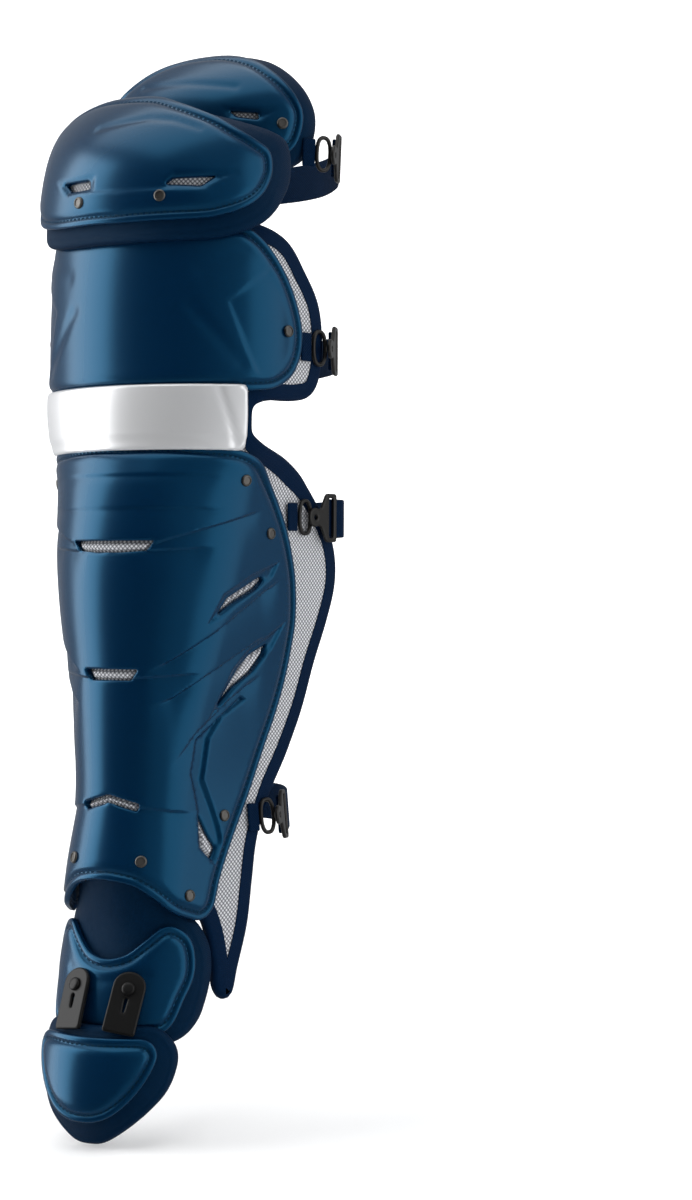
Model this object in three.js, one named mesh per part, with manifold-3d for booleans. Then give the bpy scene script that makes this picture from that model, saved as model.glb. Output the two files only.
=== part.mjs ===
// Leg guard for a baseball catcher: a knee cap and a thigh cap over a long shin guard,
// with ankle and toe plates below. Millimetres, +Z up the leg, the front faces -Y,
// and the strap hooks are on the +X side.
import * as THREE from 'three';
import { mergeVertices } from 'three/addons/utils/BufferGeometryUtils.js';
import Module from 'manifold-3d';

const wasm = await Module();
wasm.setup();

// Walls and clearances
const gap = 0.4;
const shellWall = 3;
const shellSeat = 0.9; // between a shell and the pad behind it, whose facets differ
const linerSeat = 1.4; // between the long plates and the liner behind them
const bandWall = 2.2;
const linerThickness = 9;
const wingThickness = 5;
const capPadThickness = 12;
const capLip = 6; // knee pad where it laps over the knee plate
const thighPadThickness = 12;
const anklePadThickness = 7;
const toePadThickness = 5;
const bindingWidth = 3;

// Lengths of the pieces up the leg, and how far each one laps over the next
const toeTip = 37;
const toeHeight = 45;
const toeToAnkle = 2;
const ankleHeight = 54;
const ankleToShin = 2;
const shinLength = 261;
const bandHeight = 36;
const bandLap = 4;
const kneePlateHeight = 97;
const capLap = 5;
const kneeCapHeight = 81;
const thighLap = 40;
const thighCapHeight = 74;

// Half widths of the pieces, measured round the leg from its front line
const toeHalf = 41;
const ankleHalf = 52;
const shinHalf = 128;
const wingHalf = 163;
const bandHalf = 70;
const kneePlateHalf = 109;
const kneeWingHalf = 127;
const kneeCapHalf = 89;
const thighCapHalf = 76;
const kneePadMargin = 11; // the knee pad stands out this far past the cap's sides
const kneePadCrown = 2; // and this far at its crown, in front of the thigh cap
const thighPadMargin = 5.5;

// The leg that the guard is shaped to
const legBow = 100; // how far the front line runs in front of the leg's axis
const legRadius = 60;
const ankleRadius = 51;
const toeRadius = 50;
const capStand = 12; // front of the knee cap before the front of the knee plate
const capCurl = 54; // how far the knee cap's top curls back
const thighSetback = 65.8; // front of the thigh cap behind the front of the knee cap
const thighCurl = 38;
const ankleLean = 10;
const toeStand = 10.2; // front of the toe plate before the front of the ankle plate
const toeLean = 6;

// Fastenings
const strapWidth = 22;
const strapThickness = 2;
const strapRun = 5; // straight on past the hook or the wing, before it bends round the leg
const tabWidth = 16;
const tabThickness = 1.6;
const ringHeight = 21;
const ringWidth = 12;
const ringWire = 2.4;
const hookThickness = 2;
const hookLength = 24;
const screwRadius = 3.3;
const screwHeight = 1.4;
const rubberWidth = 18;
const rubberThickness = 2.6;
const studRadius = 3.6;

// Height of each piece's lower edge
const toeLevel = toeTip;
const toeTop = toeLevel + toeHeight;
const ankleLevel = toeTop + toeToAnkle;
const shinLevel = ankleLevel + ankleHeight + ankleToShin;
const bandLevel = shinLevel + shinLength - bandLap;
const kneePlateLevel = bandLevel + bandHeight - bandLap;
const kneeCapLevel = kneePlateLevel + kneePlateHeight - capLap;
const thighCapLevel = kneeCapLevel + kneeCapHeight - thighLap;

// Reads a column of a table at a height share, as a smooth curve through its rows.
function columnAt(rows, share, column) {
  const last = rows.length - 1;
  const slope = (i) => {
    const a = rows[Math.max(i - 1, 0)];
    const b = rows[Math.min(i + 1, last)];
    return (b[column] - a[column]) / (b.up - a.up);
  };
  if (share <= rows[0].up) return rows[0][column] + slope(0) * (share - rows[0].up);
  if (share >= rows[last].up) return rows[last][column] + slope(last) * (share - rows[last].up);
  const i = rows.findIndex((row) => row.up > share) - 1;
  const step = rows[i + 1].up - rows[i].up;
  const t = (share - rows[i].up) / step;
  const t2 = t * t;
  const t3 = t2 * t;
  return rows[i][column] * (2 * t3 - 3 * t2 + 1) + rows[i + 1][column] * (3 * t2 - 2 * t3)
    + step * (slope(i) * (t3 - 2 * t2 + t) + slope(i + 1) * (t3 - t2));
}

const makeRows = (table) => table.map(([up, front, inner, outer, turn]) => (
  { up, front, inner, outer, turn }));

// A form is a bent surface round the leg. Its section has one radius up to the shoulder
// angle, a second one up to the turn angle, and then runs straight back.
const shoulder = THREE.MathUtils.degToRad(35);

function formPoint(form, around, height) {
  const share = (height - form.level) / form.height;
  const front = form.front(share);
  const r1 = form.radius * columnAt(form.rows, share, 'inner');
  const r2 = form.radius * columnAt(form.rows, share, 'outer');
  const turn = THREE.MathUtils.degToRad(columnAt(form.rows, share, 'turn'));
  const reach = Math.abs(around);
  const a1 = Math.min(reach / r1, shoulder);
  const past = Math.max(reach - r1 * shoulder, 0);
  const a2 = Math.min(past / r2, turn - shoulder);
  const straight = Math.max(past - r2 * (turn - shoulder), 0);
  const x = r1 * Math.sin(a1) + r2 * (Math.sin(shoulder + a2) - Math.sin(shoulder))
    + straight * Math.cos(turn);
  const y = front + r1 * (1 - Math.cos(a1)) + r2 * (Math.cos(shoulder) - Math.cos(shoulder + a2))
    + straight * Math.sin(turn);
  return new THREE.Vector3(Math.sign(around) * x, y, height);
}

// The form's own directions at a point: round the leg, up it and out of it.
function formFrame(form, around, height) {
  const e = 0.5;
  const side = formPoint(form, around + e, height).sub(formPoint(form, around - e, height));
  const up = formPoint(form, around, height + e).sub(formPoint(form, around, height - e));
  const out = side.clone().cross(up).normalize();
  side.normalize();
  return { side, up: out.clone().cross(side), out };
}

const onForm = (form, around, height, out) => formPoint(form, around, height)
  .addScaledVector(formFrame(form, around, height).out, out);

// Leg: height share, front line share of the bow, two radii as shares, turn in degrees
const legRows = makeRows([
  [0.014, 1.00, 0.67, 0.67, 66],
  [0.082, 0.96, 0.67, 0.67, 68],
  [0.185, 0.88, 0.65, 0.65, 70],
  [0.275, 0.80, 0.62, 0.62, 71],
  [0.357, 0.79, 0.68, 0.68, 73],
  [0.437, 0.79, 0.80, 0.80, 75],
  [0.517, 0.80, 0.93, 0.93, 76],
  [0.595, 0.79, 1.02, 1.02, 76],
  [0.673, 0.74, 1.10, 1.03, 76],
  [0.723, 0.66, 1.40, 0.97, 75],
  [0.792, 0.64, 1.58, 0.92, 74],
  [0.952, 0.61, 1.58, 0.92, 72],
  [1.089, 0.52, 1.53, 0.92, 68],
]);
const leg = {
  level: ankleLevel,
  height: kneeCapLevel - ankleLevel,
  radius: legRadius,
  rows: legRows,
  front: (share) => -legBow * columnAt(legRows, share, 'front'),
};
const legFrontAt = (height) => leg.front((height - leg.level) / leg.height);

// Knee cap: the front column is the share of the curl
const kneeRows = makeRows([
  [-0.20, 0.030, 1.68, 0.95, 66],
  [0.01, -0.007, 1.68, 0.95, 68],
  [0.235, 0.000, 1.64, 0.96, 70],
  [0.43, 0.057, 1.62, 0.97, 70],
  [0.605, 0.178, 1.64, 0.98, 70],
  [0.765, 0.363, 1.67, 1.00, 70],
  [0.89, 0.567, 1.70, 1.00, 70],
  [0.99, 0.789, 1.70, 1.00, 70],
  [1.05, 0.993, 1.70, 1.00, 70],
]);
const kneeFront = legFrontAt(kneeCapLevel) - capStand;
const knee = {
  level: kneeCapLevel,
  height: kneeCapHeight,
  radius: legRadius,
  rows: kneeRows,
  front: (share) => kneeFront + capCurl * columnAt(kneeRows, share, 'front'),
};

// Thigh cap: the front column is the share of its curl
const thighRows = makeRows([
  [-0.16, 0.120, 1.60, 1.00, 68],
  [0.18, 0.040, 1.62, 1.00, 70],
  [0.38, 0.016, 1.63, 1.00, 70],
  [0.54, 0.070, 1.63, 1.00, 70],
  [0.69, 0.230, 1.63, 1.00, 70],
  [0.81, 0.440, 1.63, 1.00, 70],
  [0.92, 0.700, 1.62, 1.00, 70],
  [1.00, 1.000, 1.60, 1.00, 70],
]);
const thigh = {
  level: thighCapLevel,
  height: thighCapHeight,
  radius: legRadius,
  rows: thighRows,
  front: (share) => kneeFront + thighSetback + thighCurl * columnAt(thighRows, share, 'front'),
};

// Ankle: its pad's top edge seats behind the shin plate, so its front starts from there
const ankleRows = makeRows([
  [-0.44, -1.0, 0.98, 0.98, 64],
  [-0.17, -0.7, 0.98, 0.98, 66],
  [0.15, -0.3, 1.00, 1.00, 67],
  [0.44, 0.1, 1.00, 1.00, 68],
  [0.76, 0.5, 1.00, 1.00, 68],
  [1.00, 0.6, 0.92, 0.92, 68],
  [1.22, 0.4, 0.80, 0.80, 68],
  [1.50, 0.0, 0.73, 0.73, 68],
]);
const archRise = 0.5; // of the ankle plate's height, above its top, where the pad is seated
const ankleFront = legFrontAt(ankleLevel + ankleHeight * (1 + archRise));
const ankle = {
  level: ankleLevel,
  height: ankleHeight,
  radius: ankleRadius,
  rows: ankleRows,
  front: (share) => ankleFront + gap + ankleLean * columnAt(ankleRows, share, 'front'),
};

// Toe: it laps over the foot of the ankle plate
const toeRows = makeRows([
  [-0.24, -0.50, 0.90, 0.90, 52],
  [0.04, -1.00, 0.94, 0.94, 54],
  [0.29, -1.00, 0.98, 0.98, 56],
  [0.62, -0.67, 1.02, 1.02, 58],
  [0.98, 0.00, 1.04, 1.04, 60],
  [1.40, 0.83, 1.04, 1.04, 60],
]);
const toeFront = ankle.front((toeTop - ankleLevel) / ankleHeight) - toeStand;
const toe = {
  level: toeLevel,
  height: toeHeight,
  radius: toeRadius,
  rows: toeRows,
  front: (share) => toeFront + toeLean * columnAt(toeRows, share, 'front'),
};

// A closed outline through table points, given from the bottom centre round by +X to the
// top centre. Without a left half of its own it is mirrored. Returns points round and up.
function outline(form, half, right, left, count) {
  const mirrored = (left ?? right.slice(1, -1)).map(([a, b]) => [-a, b]).reverse();
  const points = [...right, ...mirrored]
    .map(([a, b]) => new THREE.Vector3(a * half, form.level + b * form.height, 0));
  const curve = new THREE.CatmullRomCurve3(points, true, 'catmullrom', 0.5);
  const perSide = count / 2;
  const rightShare = (right.length - 1) / points.length;
  return Array.from({ length: count }, (_, i) => {
    const t = i <= perSide ? rightShare * i / perSide
      : rightShare + (1 - rightShare) * (i - perSide) / perSide;
    return curve.getPoint(t);
  });
}

// Moves an outline outwards in its own plane, by marginAt(point).
function widened(rim, marginAt) {
  const count = rim.length;
  return rim.map((p, i) => {
    const before = rim[(i + count - 1) % count];
    const after = rim[(i + 1) % count];
    const along = after.clone().sub(before).normalize();
    const margin = marginAt(p);
    return new THREE.Vector3(p.x + along.y * margin, p.y - along.x * margin, 0);
  });
}

function meshOf(name, vertices, faces, material) {
  const geometry = new THREE.BufferGeometry();
  geometry.setAttribute('position', new THREE.Float32BufferAttribute(vertices.flat(), 3));
  geometry.setIndex(faces.flat());
  const mesh = new THREE.Mesh(mergeVertices(geometry, 1e-4), material);
  mesh.name = name;
  return mesh;
}

// A wall between two surfaces over an outline. Rings run from a spine on the front line out
// to the rim; place(point, ring, side) gives a vertex, side 1 outside and side 0 inside.
function wall(name, rim, rings, spread, place, material) {
  const count = rim.length;
  const middle = rim.reduce((sum, p) => sum + p.y, 0) / count;
  const vertices = [];
  for (const side of [1, 0]) {
    for (let ring = 0; ring <= rings; ring += 1) {
      const r = ring / rings;
      rim.forEach((p, i) => {
        const twin = rim[(count - i) % count];
        const spine = middle + spread * ((p.y + twin.y) / 2 - middle);
        const q = new THREE.Vector3(p.x * r, spine + (p.y - spine) * r, 0);
        vertices.push(place(q, r, side).toArray());
      });
    }
  }
  const at = (side, ring, i) => ((side ? 0 : rings + 1) + ring) * count + (i % count);
  const faces = [];
  const quad = (a, b, c, d) => {
    const apart = (m, n) => Math.hypot(...vertices[m].map((v, k) => v - vertices[n][k])) > 1e-3;
    if (apart(a, b)) faces.push([a, b, c]);
    if (apart(c, d)) faces.push([a, c, d]);
  };
  for (let i = 0; i < count; i += 1) {
    for (let ring = 0; ring < rings; ring += 1) {
      quad(at(1, ring, i + 1), at(1, ring, i), at(1, ring + 1, i), at(1, ring + 1, i + 1));
      quad(at(0, ring, i), at(0, ring, i + 1), at(0, ring + 1, i + 1), at(0, ring + 1, i));
    }
    quad(at(1, rings, i + 1), at(1, rings, i), at(0, rings, i), at(0, rings, i + 1));
  }
  return meshOf(name, vertices, faces, material);
}

// A hard shell of even wall on a form.
const shell = (name, form, rim, rings, spread, material) => wall(name, rim, rings, spread,
  (q, r, side) => onForm(form, q.x, q.y, side ? 0 : -shellWall), material);

// A pad behind a shell: its back lies straight behind its face, and its rim is rounded off.
function pad(name, form, rim, rings, spread, depthAt, material) {
  const face = -(shellWall + shellSeat);
  const edge = 0.55; // share of the depth that is left at the rim
  return wall(name, rim, rings, spread, (q, r, side) => {
    const point = onForm(form, q.x, q.y, face);
    const depth = depthAt((q.y - form.level) / form.height);
    const rounding = r > 0.99 ? (1 - edge) / 2 : 0;
    point.y += depth * (side ? rounding : 1 - rounding);
    return point;
  }, material);
}

// Booleans on closed meshes
function toSolid(mesh) {
  const { position } = mesh.geometry.attributes;
  return new wasm.Manifold(new wasm.Mesh({
    numProp: 3,
    vertProperties: new Float32Array(position.array),
    triVerts: new Uint32Array(mesh.geometry.index.array),
  }));
}

function fromSolid(name, solid, material) {
  const { numProp, vertProperties, triVerts } = solid.getMesh();
  const geometry = new THREE.BufferGeometry();
  const vertices = new Float32Array(vertProperties.length / numProp * 3);
  for (let i = 0; i < vertices.length / 3; i += 1) {
    vertices.set(vertProperties.subarray(i * numProp, i * numProp + 3), i * 3);
  }
  geometry.setAttribute('position', new THREE.BufferAttribute(vertices, 3));
  geometry.setIndex(new THREE.BufferAttribute(new Uint32Array(triVerts), 1));
  const mesh = new THREE.Mesh(geometry, material);
  mesh.name = name;
  return mesh;
}

// A prism through a shell, over a small outline given as shares of a form.
function plug(form, half, corners) {
  const reach = 2 * shellWall;
  const vertices = [];
  const faces = [];
  const centre = corners.reduce(([a, b], [c, d]) => [a + c, b + d], [0, 0])
    .map((v) => v / corners.length);
  const vertex = ([a, b], out) => vertices.push(
    onForm(form, a * half, form.level + b * form.height, out).toArray());
  for (const out of [reach, -reach]) {
    vertex(centre, out);
    corners.forEach((corner) => vertex(corner, out));
  }
  const count = corners.length;
  for (let i = 0; i < count; i += 1) {
    const a = 1 + i;
    const b = 1 + ((i + 1) % count);
    const under = count + 1;
    faces.push([0, a, b], [under, under + b, under + a]);
    faces.push([a, under + a, under + b], [a, under + b, b]);
  }
  return meshOf('plug', vertices, faces, null);
}

const mirrorCorners = (corners) => corners.map(([a, b]) => [-a, b]).reverse();

function pierced(mesh, form, half, vents) {
  const cut = vents.reduce((solid, vent) => solid.subtract(toSolid(plug(form, half, vent))),
    toSolid(mesh));
  return fromSolid(mesh.name, cut, mesh.material);
}

// Places a piece whose own x runs round the leg, y up and z outwards.
function seated(mesh, form, around, height, out) {
  const { side, up, out: normal } = formFrame(form, around, height);
  mesh.quaternion.setFromRotationMatrix(new THREE.Matrix4().makeBasis(side, up, normal));
  mesh.position.copy(onForm(form, around, height, out));
  return mesh;
}

const finish = (color, roughness, metalness) => (
  new THREE.MeshStandardMaterial({ color, roughness, metalness }));
const navyPlastic = finish(0x0c2f57, 0.25, 0);
const navyFabric = finish(0x0b1c38, 0.9, 0);
const meshFabric = finish(0xb9bec4, 0.9, 0);
const silverPlastic = finish(0xd0d2d4, 0.35, 0.5);
const darkMetal = finish(0x2a2c30, 0.35, 0.9);
const blackRubber = finish(0x131416, 0.7, 0);
const webbing = finish(0x10203c, 0.85, 0);

const guard = new THREE.Group();

// Shin plate: outline as shares of its half width and of the leg form, from the arch up
const legShare = (height) => (height - leg.level) / leg.height;
const shinShare = (share) => legShare(shinLevel + share * shinLength);
const shinOutline = [
  [0.00, 0.092], [0.06, 0.090], [0.15, 0.080], [0.25, 0.052], [0.33, 0.026], [0.42, 0.008],
  [0.50, 0.000], [0.56, 0.022], [0.59, 0.085], [0.65, 0.170], [0.72, 0.250], [0.80, 0.335],
  [0.88, 0.415], [0.94, 0.490], [0.98, 0.565], [1.00, 0.630], [0.985, 0.710], [0.94, 0.780],
  [0.87, 0.850], [0.77, 0.915], [0.66, 0.962], [0.53, 0.986], [0.36, 0.995], [0.18, 1.000],
  [0.00, 1.000],
].map(([a, b]) => [a, shinShare(b)]);
const shinVents = [
  [[-0.17, 0.773], [-0.05, 0.769], [0.05, 0.769], [0.17, 0.773], [0.20, 0.795], [-0.20, 0.795]],
  [[-0.10, 0.504], [0.10, 0.504], [0.13, 0.526], [-0.13, 0.526]],
  [[-0.13, 0.232], [0.00, 0.250], [0.13, 0.232], [0.14, 0.247], [0.00, 0.266], [-0.14, 0.247]],
];
const shinSideVents = [
  [[0.50, 0.640], [0.57, 0.668], [0.72, 0.704], [0.765, 0.718], [0.75, 0.730], [0.55, 0.676]],
  [[0.52, 0.445], [0.60, 0.485], [0.75, 0.545], [0.80, 0.575], [0.70, 0.556], [0.58, 0.512]],
  [[0.45, 0.155], [0.52, 0.125], [0.54, 0.146], [0.48, 0.182], [0.43, 0.216]],
];
const shinVentCorners = [
  ...shinVents, ...shinSideVents, ...shinSideVents.map(mirrorCorners),
].map((corners) => corners.map(([a, b]) => [a, shinShare(b)]));
const shinRim = outline(leg, shinHalf, shinOutline, null, 44);
guard.add(pierced(shell('shin_plate', leg, shinRim, 6, 0.7, navyPlastic),
  leg, shinHalf, shinVentCorners));

// Knee plate: shares of its half width and of its own height
const kneePlateShare = (share) => legShare(kneePlateLevel + share * kneePlateHeight);
const kneePlateOutline = [
  [0.00, 0.000], [0.25, 0.000], [0.50, 0.003], [0.70, 0.012], [0.82, 0.035], [0.93, 0.110],
  [0.99, 0.230], [1.00, 0.380], [0.95, 0.550], [0.86, 0.710], [0.71, 0.880], [0.55, 0.970],
  [0.28, 1.000], [0.00, 1.000],
].map(([a, b]) => [a, kneePlateShare(b)]);
const kneePlateRim = outline(leg, kneePlateHalf, kneePlateOutline, null, 36);
guard.add(shell('knee_plate', leg, kneePlateRim, 5, 0.6, navyPlastic));

// Liner: padded cloth behind both plates, notched beside the band, with wings round the leg.
// Each row runs from its place on the front line out to the edge of the wing; the lowest one
// is the arch over the ankle. The lower rows are shares of the shin's half wing and length,
// the upper ones of the knee's.
const shinRow = (centre, across, up) => (
  { centre: shinShare(centre), across: across * wingHalf, up: shinShare(up) });
const kneeRow = (centre, across, up) => (
  { centre: kneePlateShare(centre), across: across * kneeWingHalf, up: kneePlateShare(up) });
const linerRows = [
  shinRow(0.160, 0.500, -0.145), shinRow(0.185, 0.540, -0.165), shinRow(0.215, 0.565, -0.107),
  shinRow(0.270, 0.600, -0.023), shinRow(0.330, 0.613, 0.070), shinRow(0.390, 0.626, 0.165),
  shinRow(0.450, 0.675, 0.253), shinRow(0.506, 0.760, 0.337), shinRow(0.567, 0.840, 0.430),
  shinRow(0.636, 0.902, 0.529), shinRow(0.700, 0.963, 0.617), shinRow(0.750, 1.000, 0.697),
  shinRow(0.805, 0.988, 0.766), shinRow(0.850, 0.932, 0.831), shinRow(0.900, 0.822, 0.904),
  shinRow(0.942, 0.681, 0.950), shinRow(0.977, 0.552, 0.981),
  kneeRow(-0.250, 0.600, -0.260), kneeRow(-0.150, 0.583, -0.170), kneeRow(-0.040, 0.590, -0.060),
  kneeRow(0.065, 0.677, -0.010), kneeRow(0.180, 0.850, 0.000), kneeRow(0.290, 0.960, 0.050),
  kneeRow(0.425, 1.000, 0.250), kneeRow(0.570, 0.976, 0.520), kneeRow(0.735, 0.874, 0.720),
  kneeRow(0.880, 0.748, 0.885), kneeRow(0.985, 0.520, 0.970),
];
const linerColumns = 14;
const linerFace = -(shellWall + linerSeat);
const bandDip = 1.2; // the liner lies this much deeper where the guard is waisted

// A point of a liner row: turn runs from -1 to 1 across the guard, close-set at its edges.
function onLinerRow(row, turn) {
  const across = Math.sin(turn * Math.PI / 2);
  const plain = THREE.MathUtils.smoothstep(row.centre, linerRows[0].centre, shinShare(0.5));
  const bend = THREE.MathUtils.lerp(1 - Math.cos(turn * Math.PI / 2), across ** 2, plain);
  const up = THREE.MathUtils.lerp(row.centre, row.up, bend);
  return new THREE.Vector3(row.across * across, leg.level + up * leg.height, 0);
}

function linerPoint(row, turn, side) {
  const p = onLinerRow(row, turn);
  const waist = 1 - THREE.MathUtils.smoothstep(Math.abs(p.y - bandLevel), 15, 40);
  const depth = THREE.MathUtils.lerp(linerThickness, wingThickness,
    THREE.MathUtils.smoothstep(Math.abs(turn), 0.35, 0.8));
  return onForm(leg, p.x, p.y, linerFace - bandDip * waist - (side ? 0 : depth));
}

// A closed wall over a grid of rows and columns; pointAt(row, column, side) is a vertex.
function sheet(name, rows, columns, pointAt, material) {
  const vertices = [];
  const faces = [];
  for (const side of [1, 0]) {
    for (let j = 0; j <= rows; j += 1) {
      for (let i = 0; i <= columns; i += 1) vertices.push(pointAt(j, i, side).toArray());
    }
  }
  const at = (side, j, i) => ((1 - side) * (rows + 1) + j) * (columns + 1) + i;
  const quad = (a, b, c, d) => faces.push([a, b, c], [a, c, d]);
  for (let j = 0; j < rows; j += 1) {
    for (let i = 0; i < columns; i += 1) {
      quad(at(1, j, i), at(1, j, i + 1), at(1, j + 1, i + 1), at(1, j + 1, i));
      quad(at(0, j, i + 1), at(0, j, i), at(0, j + 1, i), at(0, j + 1, i + 1));
    }
    quad(at(0, j, 0), at(1, j, 0), at(1, j + 1, 0), at(0, j + 1, 0));
    quad(at(1, j, columns), at(0, j, columns), at(0, j + 1, columns), at(1, j + 1, columns));
  }
  for (let i = 0; i < columns; i += 1) {
    quad(at(0, 0, i), at(0, 0, i + 1), at(1, 0, i + 1), at(1, 0, i));
    quad(at(1, rows, i), at(1, rows, i + 1), at(0, rows, i + 1), at(0, rows, i));
  }
  return meshOf(name, vertices, faces, material);
}

const columnTurn = (i, columns) => 2 * i / columns - 1;
guard.add(sheet('liner', linerRows.length - 1, linerColumns,
  (j, i, side) => linerPoint(linerRows[j], columnTurn(i, linerColumns), side), meshFabric));

// Silver band over the joint between the two plates
const bandRows = 3;
const bandColumns = 14;
guard.add(sheet('silver_band', bandRows, bandColumns, (j, i, side) => onForm(leg,
  bandHalf * columnTurn(i, bandColumns), bandLevel + bandHeight * j / bandRows,
  gap + side * bandWall), silverPlastic));

// Tape sewn over the liner's edge
function binding() {
  const top = linerRows.length - 1;
  const loop = [];
  for (let i = 0; i < linerColumns; i += 1) loop.push([0, columnTurn(i, linerColumns)]);
  for (let j = 0; j < top; j += 1) loop.push([j, 1]);
  for (let i = linerColumns; i > 0; i -= 1) loop.push([top, columnTurn(i, linerColumns)]);
  for (let j = top; j > 0; j -= 1) loop.push([j, -1]);
  const edge = loop.map(([j, turn]) => onLinerRow(linerRows[j], turn));
  const near = widened(edge, () => gap);
  const far = widened(edge, () => gap + bindingWidth);
  const count = edge.length;
  const back = linerFace - wingThickness;
  const vertices = [];
  const faces = [];
  for (const [rim, out] of [[near, linerFace], [far, linerFace], [far, back], [near, back]]) {
    rim.forEach((p) => vertices.push(onForm(leg, p.x, p.y, out).toArray()));
  }
  for (let k = 0; k < 4; k += 1) {
    for (let i = 0; i < count; i += 1) {
      const a = k * count + i;
      const b = k * count + ((i + 1) % count);
      const c = ((k + 1) % 4) * count + ((i + 1) % count);
      const d = ((k + 1) % 4) * count + i;
      faces.push([b, a, d], [b, d, c]);
    }
  }
  return meshOf('liner_binding', vertices, faces, navyFabric);
}
guard.add(binding());

// Knee cap: its crown stands higher on the -X side
const kneeCapRight = [
  [0.00, 0.000], [0.29, 0.006], [0.56, 0.018], [0.70, 0.050], [0.82, 0.100], [0.91, 0.165],
  [0.97, 0.250], [1.00, 0.370], [0.96, 0.500], [0.84, 0.580], [0.70, 0.655], [0.56, 0.735],
  [0.42, 0.800], [0.26, 0.870], [0.06, 0.950],
];
const kneeCapLeft = [
  [0.17, 0.005], [0.41, 0.012], [0.62, 0.030], [0.82, 0.080], [0.95, 0.180], [1.00, 0.320],
  [1.01, 0.470], [0.99, 0.620], [0.94, 0.760], [0.82, 0.880], [0.64, 0.960], [0.42, 1.000],
  [0.18, 0.985],
];
const kneeVents = [
  [[0.30, 0.245], [0.48, 0.265], [0.62, 0.300], [0.58, 0.305], [0.36, 0.290]],
  [[-0.44, 0.262], [-0.38, 0.262], [-0.22, 0.262], [-0.22, 0.302], [-0.42, 0.315]],
];
const kneeRim = outline(knee, kneeCapHalf, kneeCapRight, kneeCapLeft, 40);
guard.add(pierced(shell('knee_cap', knee, kneeRim, 5, 0.5, navyPlastic),
  knee, kneeCapHalf, kneeVents));
const capThickness = (share) => THREE.MathUtils.lerp(capLip, capPadThickness,
  THREE.MathUtils.smoothstep(share, 0.05, 0.4)) + Math.max(share - 0.6, 0) * capPadThickness * 2;
const kneePadMarginAt = (p) => THREE.MathUtils.lerp(kneePadMargin, kneePadCrown,
  THREE.MathUtils.smoothstep((p.y - knee.level) / knee.height, 0.5, 0.85));
guard.add(pad('knee_pad', knee, widened(kneeRim, kneePadMarginAt), 3, 0.5, capThickness,
  navyFabric));

// Thigh cap
const thighOutline = [
  [0.00, 0.000], [0.35, 0.005], [0.62, 0.030], [0.80, 0.090], [0.91, 0.170], [0.97, 0.300],
  [0.98, 0.420], [0.94, 0.520], [0.84, 0.640], [0.68, 0.770], [0.46, 0.900], [0.22, 0.980],
  [0.00, 1.000],
];
const thighVent = [[0.40, 0.420], [0.63, 0.385], [0.64, 0.440], [0.46, 0.450]];
const thighRim = outline(thigh, thighCapHalf, thighOutline, null, 36);
guard.add(pierced(shell('thigh_cap', thigh, thighRim, 4, 0.5, navyPlastic),
  thigh, thighCapHalf, [thighVent, mirrorCorners(thighVent)]));
guard.add(pad('thigh_pad', thigh, widened(thighRim, () => thighPadMargin), 3, 0.5,
  () => thighPadThickness, navyFabric));

// Ankle plate, with a valley in its top edge, and the pad that fills the shin plate's arch
const ankleOutline = [
  [0.00, -0.080], [0.40, -0.080], [0.77, 0.000], [0.92, 0.290], [1.00, 0.500], [0.98, 0.720],
  [0.90, 0.890], [0.74, 0.995], [0.60, 0.990], [0.44, 0.880], [0.25, 0.740], [0.10, 0.690],
  [0.00, 0.680],
];
const ankleRim = outline(ankle, ankleHalf, ankleOutline, null, 36);
guard.add(shell('ankle_plate', ankle, ankleRim, 3, 0, navyPlastic));
const anklePadOutline = [
  [0.00, -0.160], [0.50, -0.180], [0.90, -0.120], [1.10, 0.030], [1.18, 0.240], [1.21, 0.480],
  [1.17, 0.700], [1.08, 0.890], [0.96, 1.040], [0.80, 1.160], [0.62, 1.340], [0.38, 1.520],
  [0.18, 1.580], [0.00, 1.590],
];
const anklePadRim = outline(ankle, ankleHalf, anklePadOutline, null, 36);
guard.add(pad('ankle_pad', ankle, anklePadRim, 3, 0.6, () => anklePadThickness, navyFabric));

// Toe plate and its pad
const toeOutline = [
  [0.00, 0.000], [0.20, 0.015], [0.42, 0.090], [0.65, 0.250], [0.85, 0.460], [0.97, 0.660],
  [1.00, 0.800], [0.93, 0.920], [0.80, 0.985], [0.60, 1.000], [0.30, 1.000], [0.00, 1.000],
];
const toeRim = outline(toe, toeHalf, toeOutline, null, 32);
guard.add(shell('toe_plate', toe, toeRim, 3, 0.5, navyPlastic));
const toePadOutline = [
  [0.00, -0.310], [0.25, -0.280], [0.58, -0.120], [0.90, 0.090], [1.18, 0.330], [1.30, 0.600],
  [1.28, 0.810], [1.12, 0.990], [0.90, 1.110], [0.60, 1.130], [0.30, 1.130], [0.00, 1.130],
];
const toePadRim = outline(toe, toeHalf, toePadOutline, null, 32);
guard.add(pad('toe_pad', toe, toePadRim, 3, 0.6, () => toePadThickness, navyFabric));

// Screws: round heads on the shells
function roundHead(name, radius) {
  const profile = [[0, 0], [radius, 0], [radius * 0.8, screwHeight], [0, screwHeight]]
    .map(([r, h]) => new THREE.Vector2(r, h));
  const geometry = new THREE.LatheGeometry(profile, 10);
  geometry.rotateX(Math.PI / 2);
  const mesh = new THREE.Mesh(geometry, darkMetal);
  mesh.name = name;
  return mesh;
}
const screw = (name, form, around, height) => (
  seated(roundHead(name, screwRadius), form, around, height, gap));
const screwPlaces = [
  ['shin_screw', leg, shinHalf, shinShare, [[0.59, 0.923], [0.78, 0.812], [0.57, 0.211],
    [0.41, 0.054], [0.17, 0.130]]],
  ['knee_plate_screw', leg, kneePlateHalf, kneePlateShare, [[0.88, 0.360]]],
  ['knee_cap_screw', knee, kneeCapHalf, (b) => b, [[0.29, 0.165]]],
  ['thigh_screw', thigh, thighCapHalf, (b) => b, [[0.81, 0.335]]],
];
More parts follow.
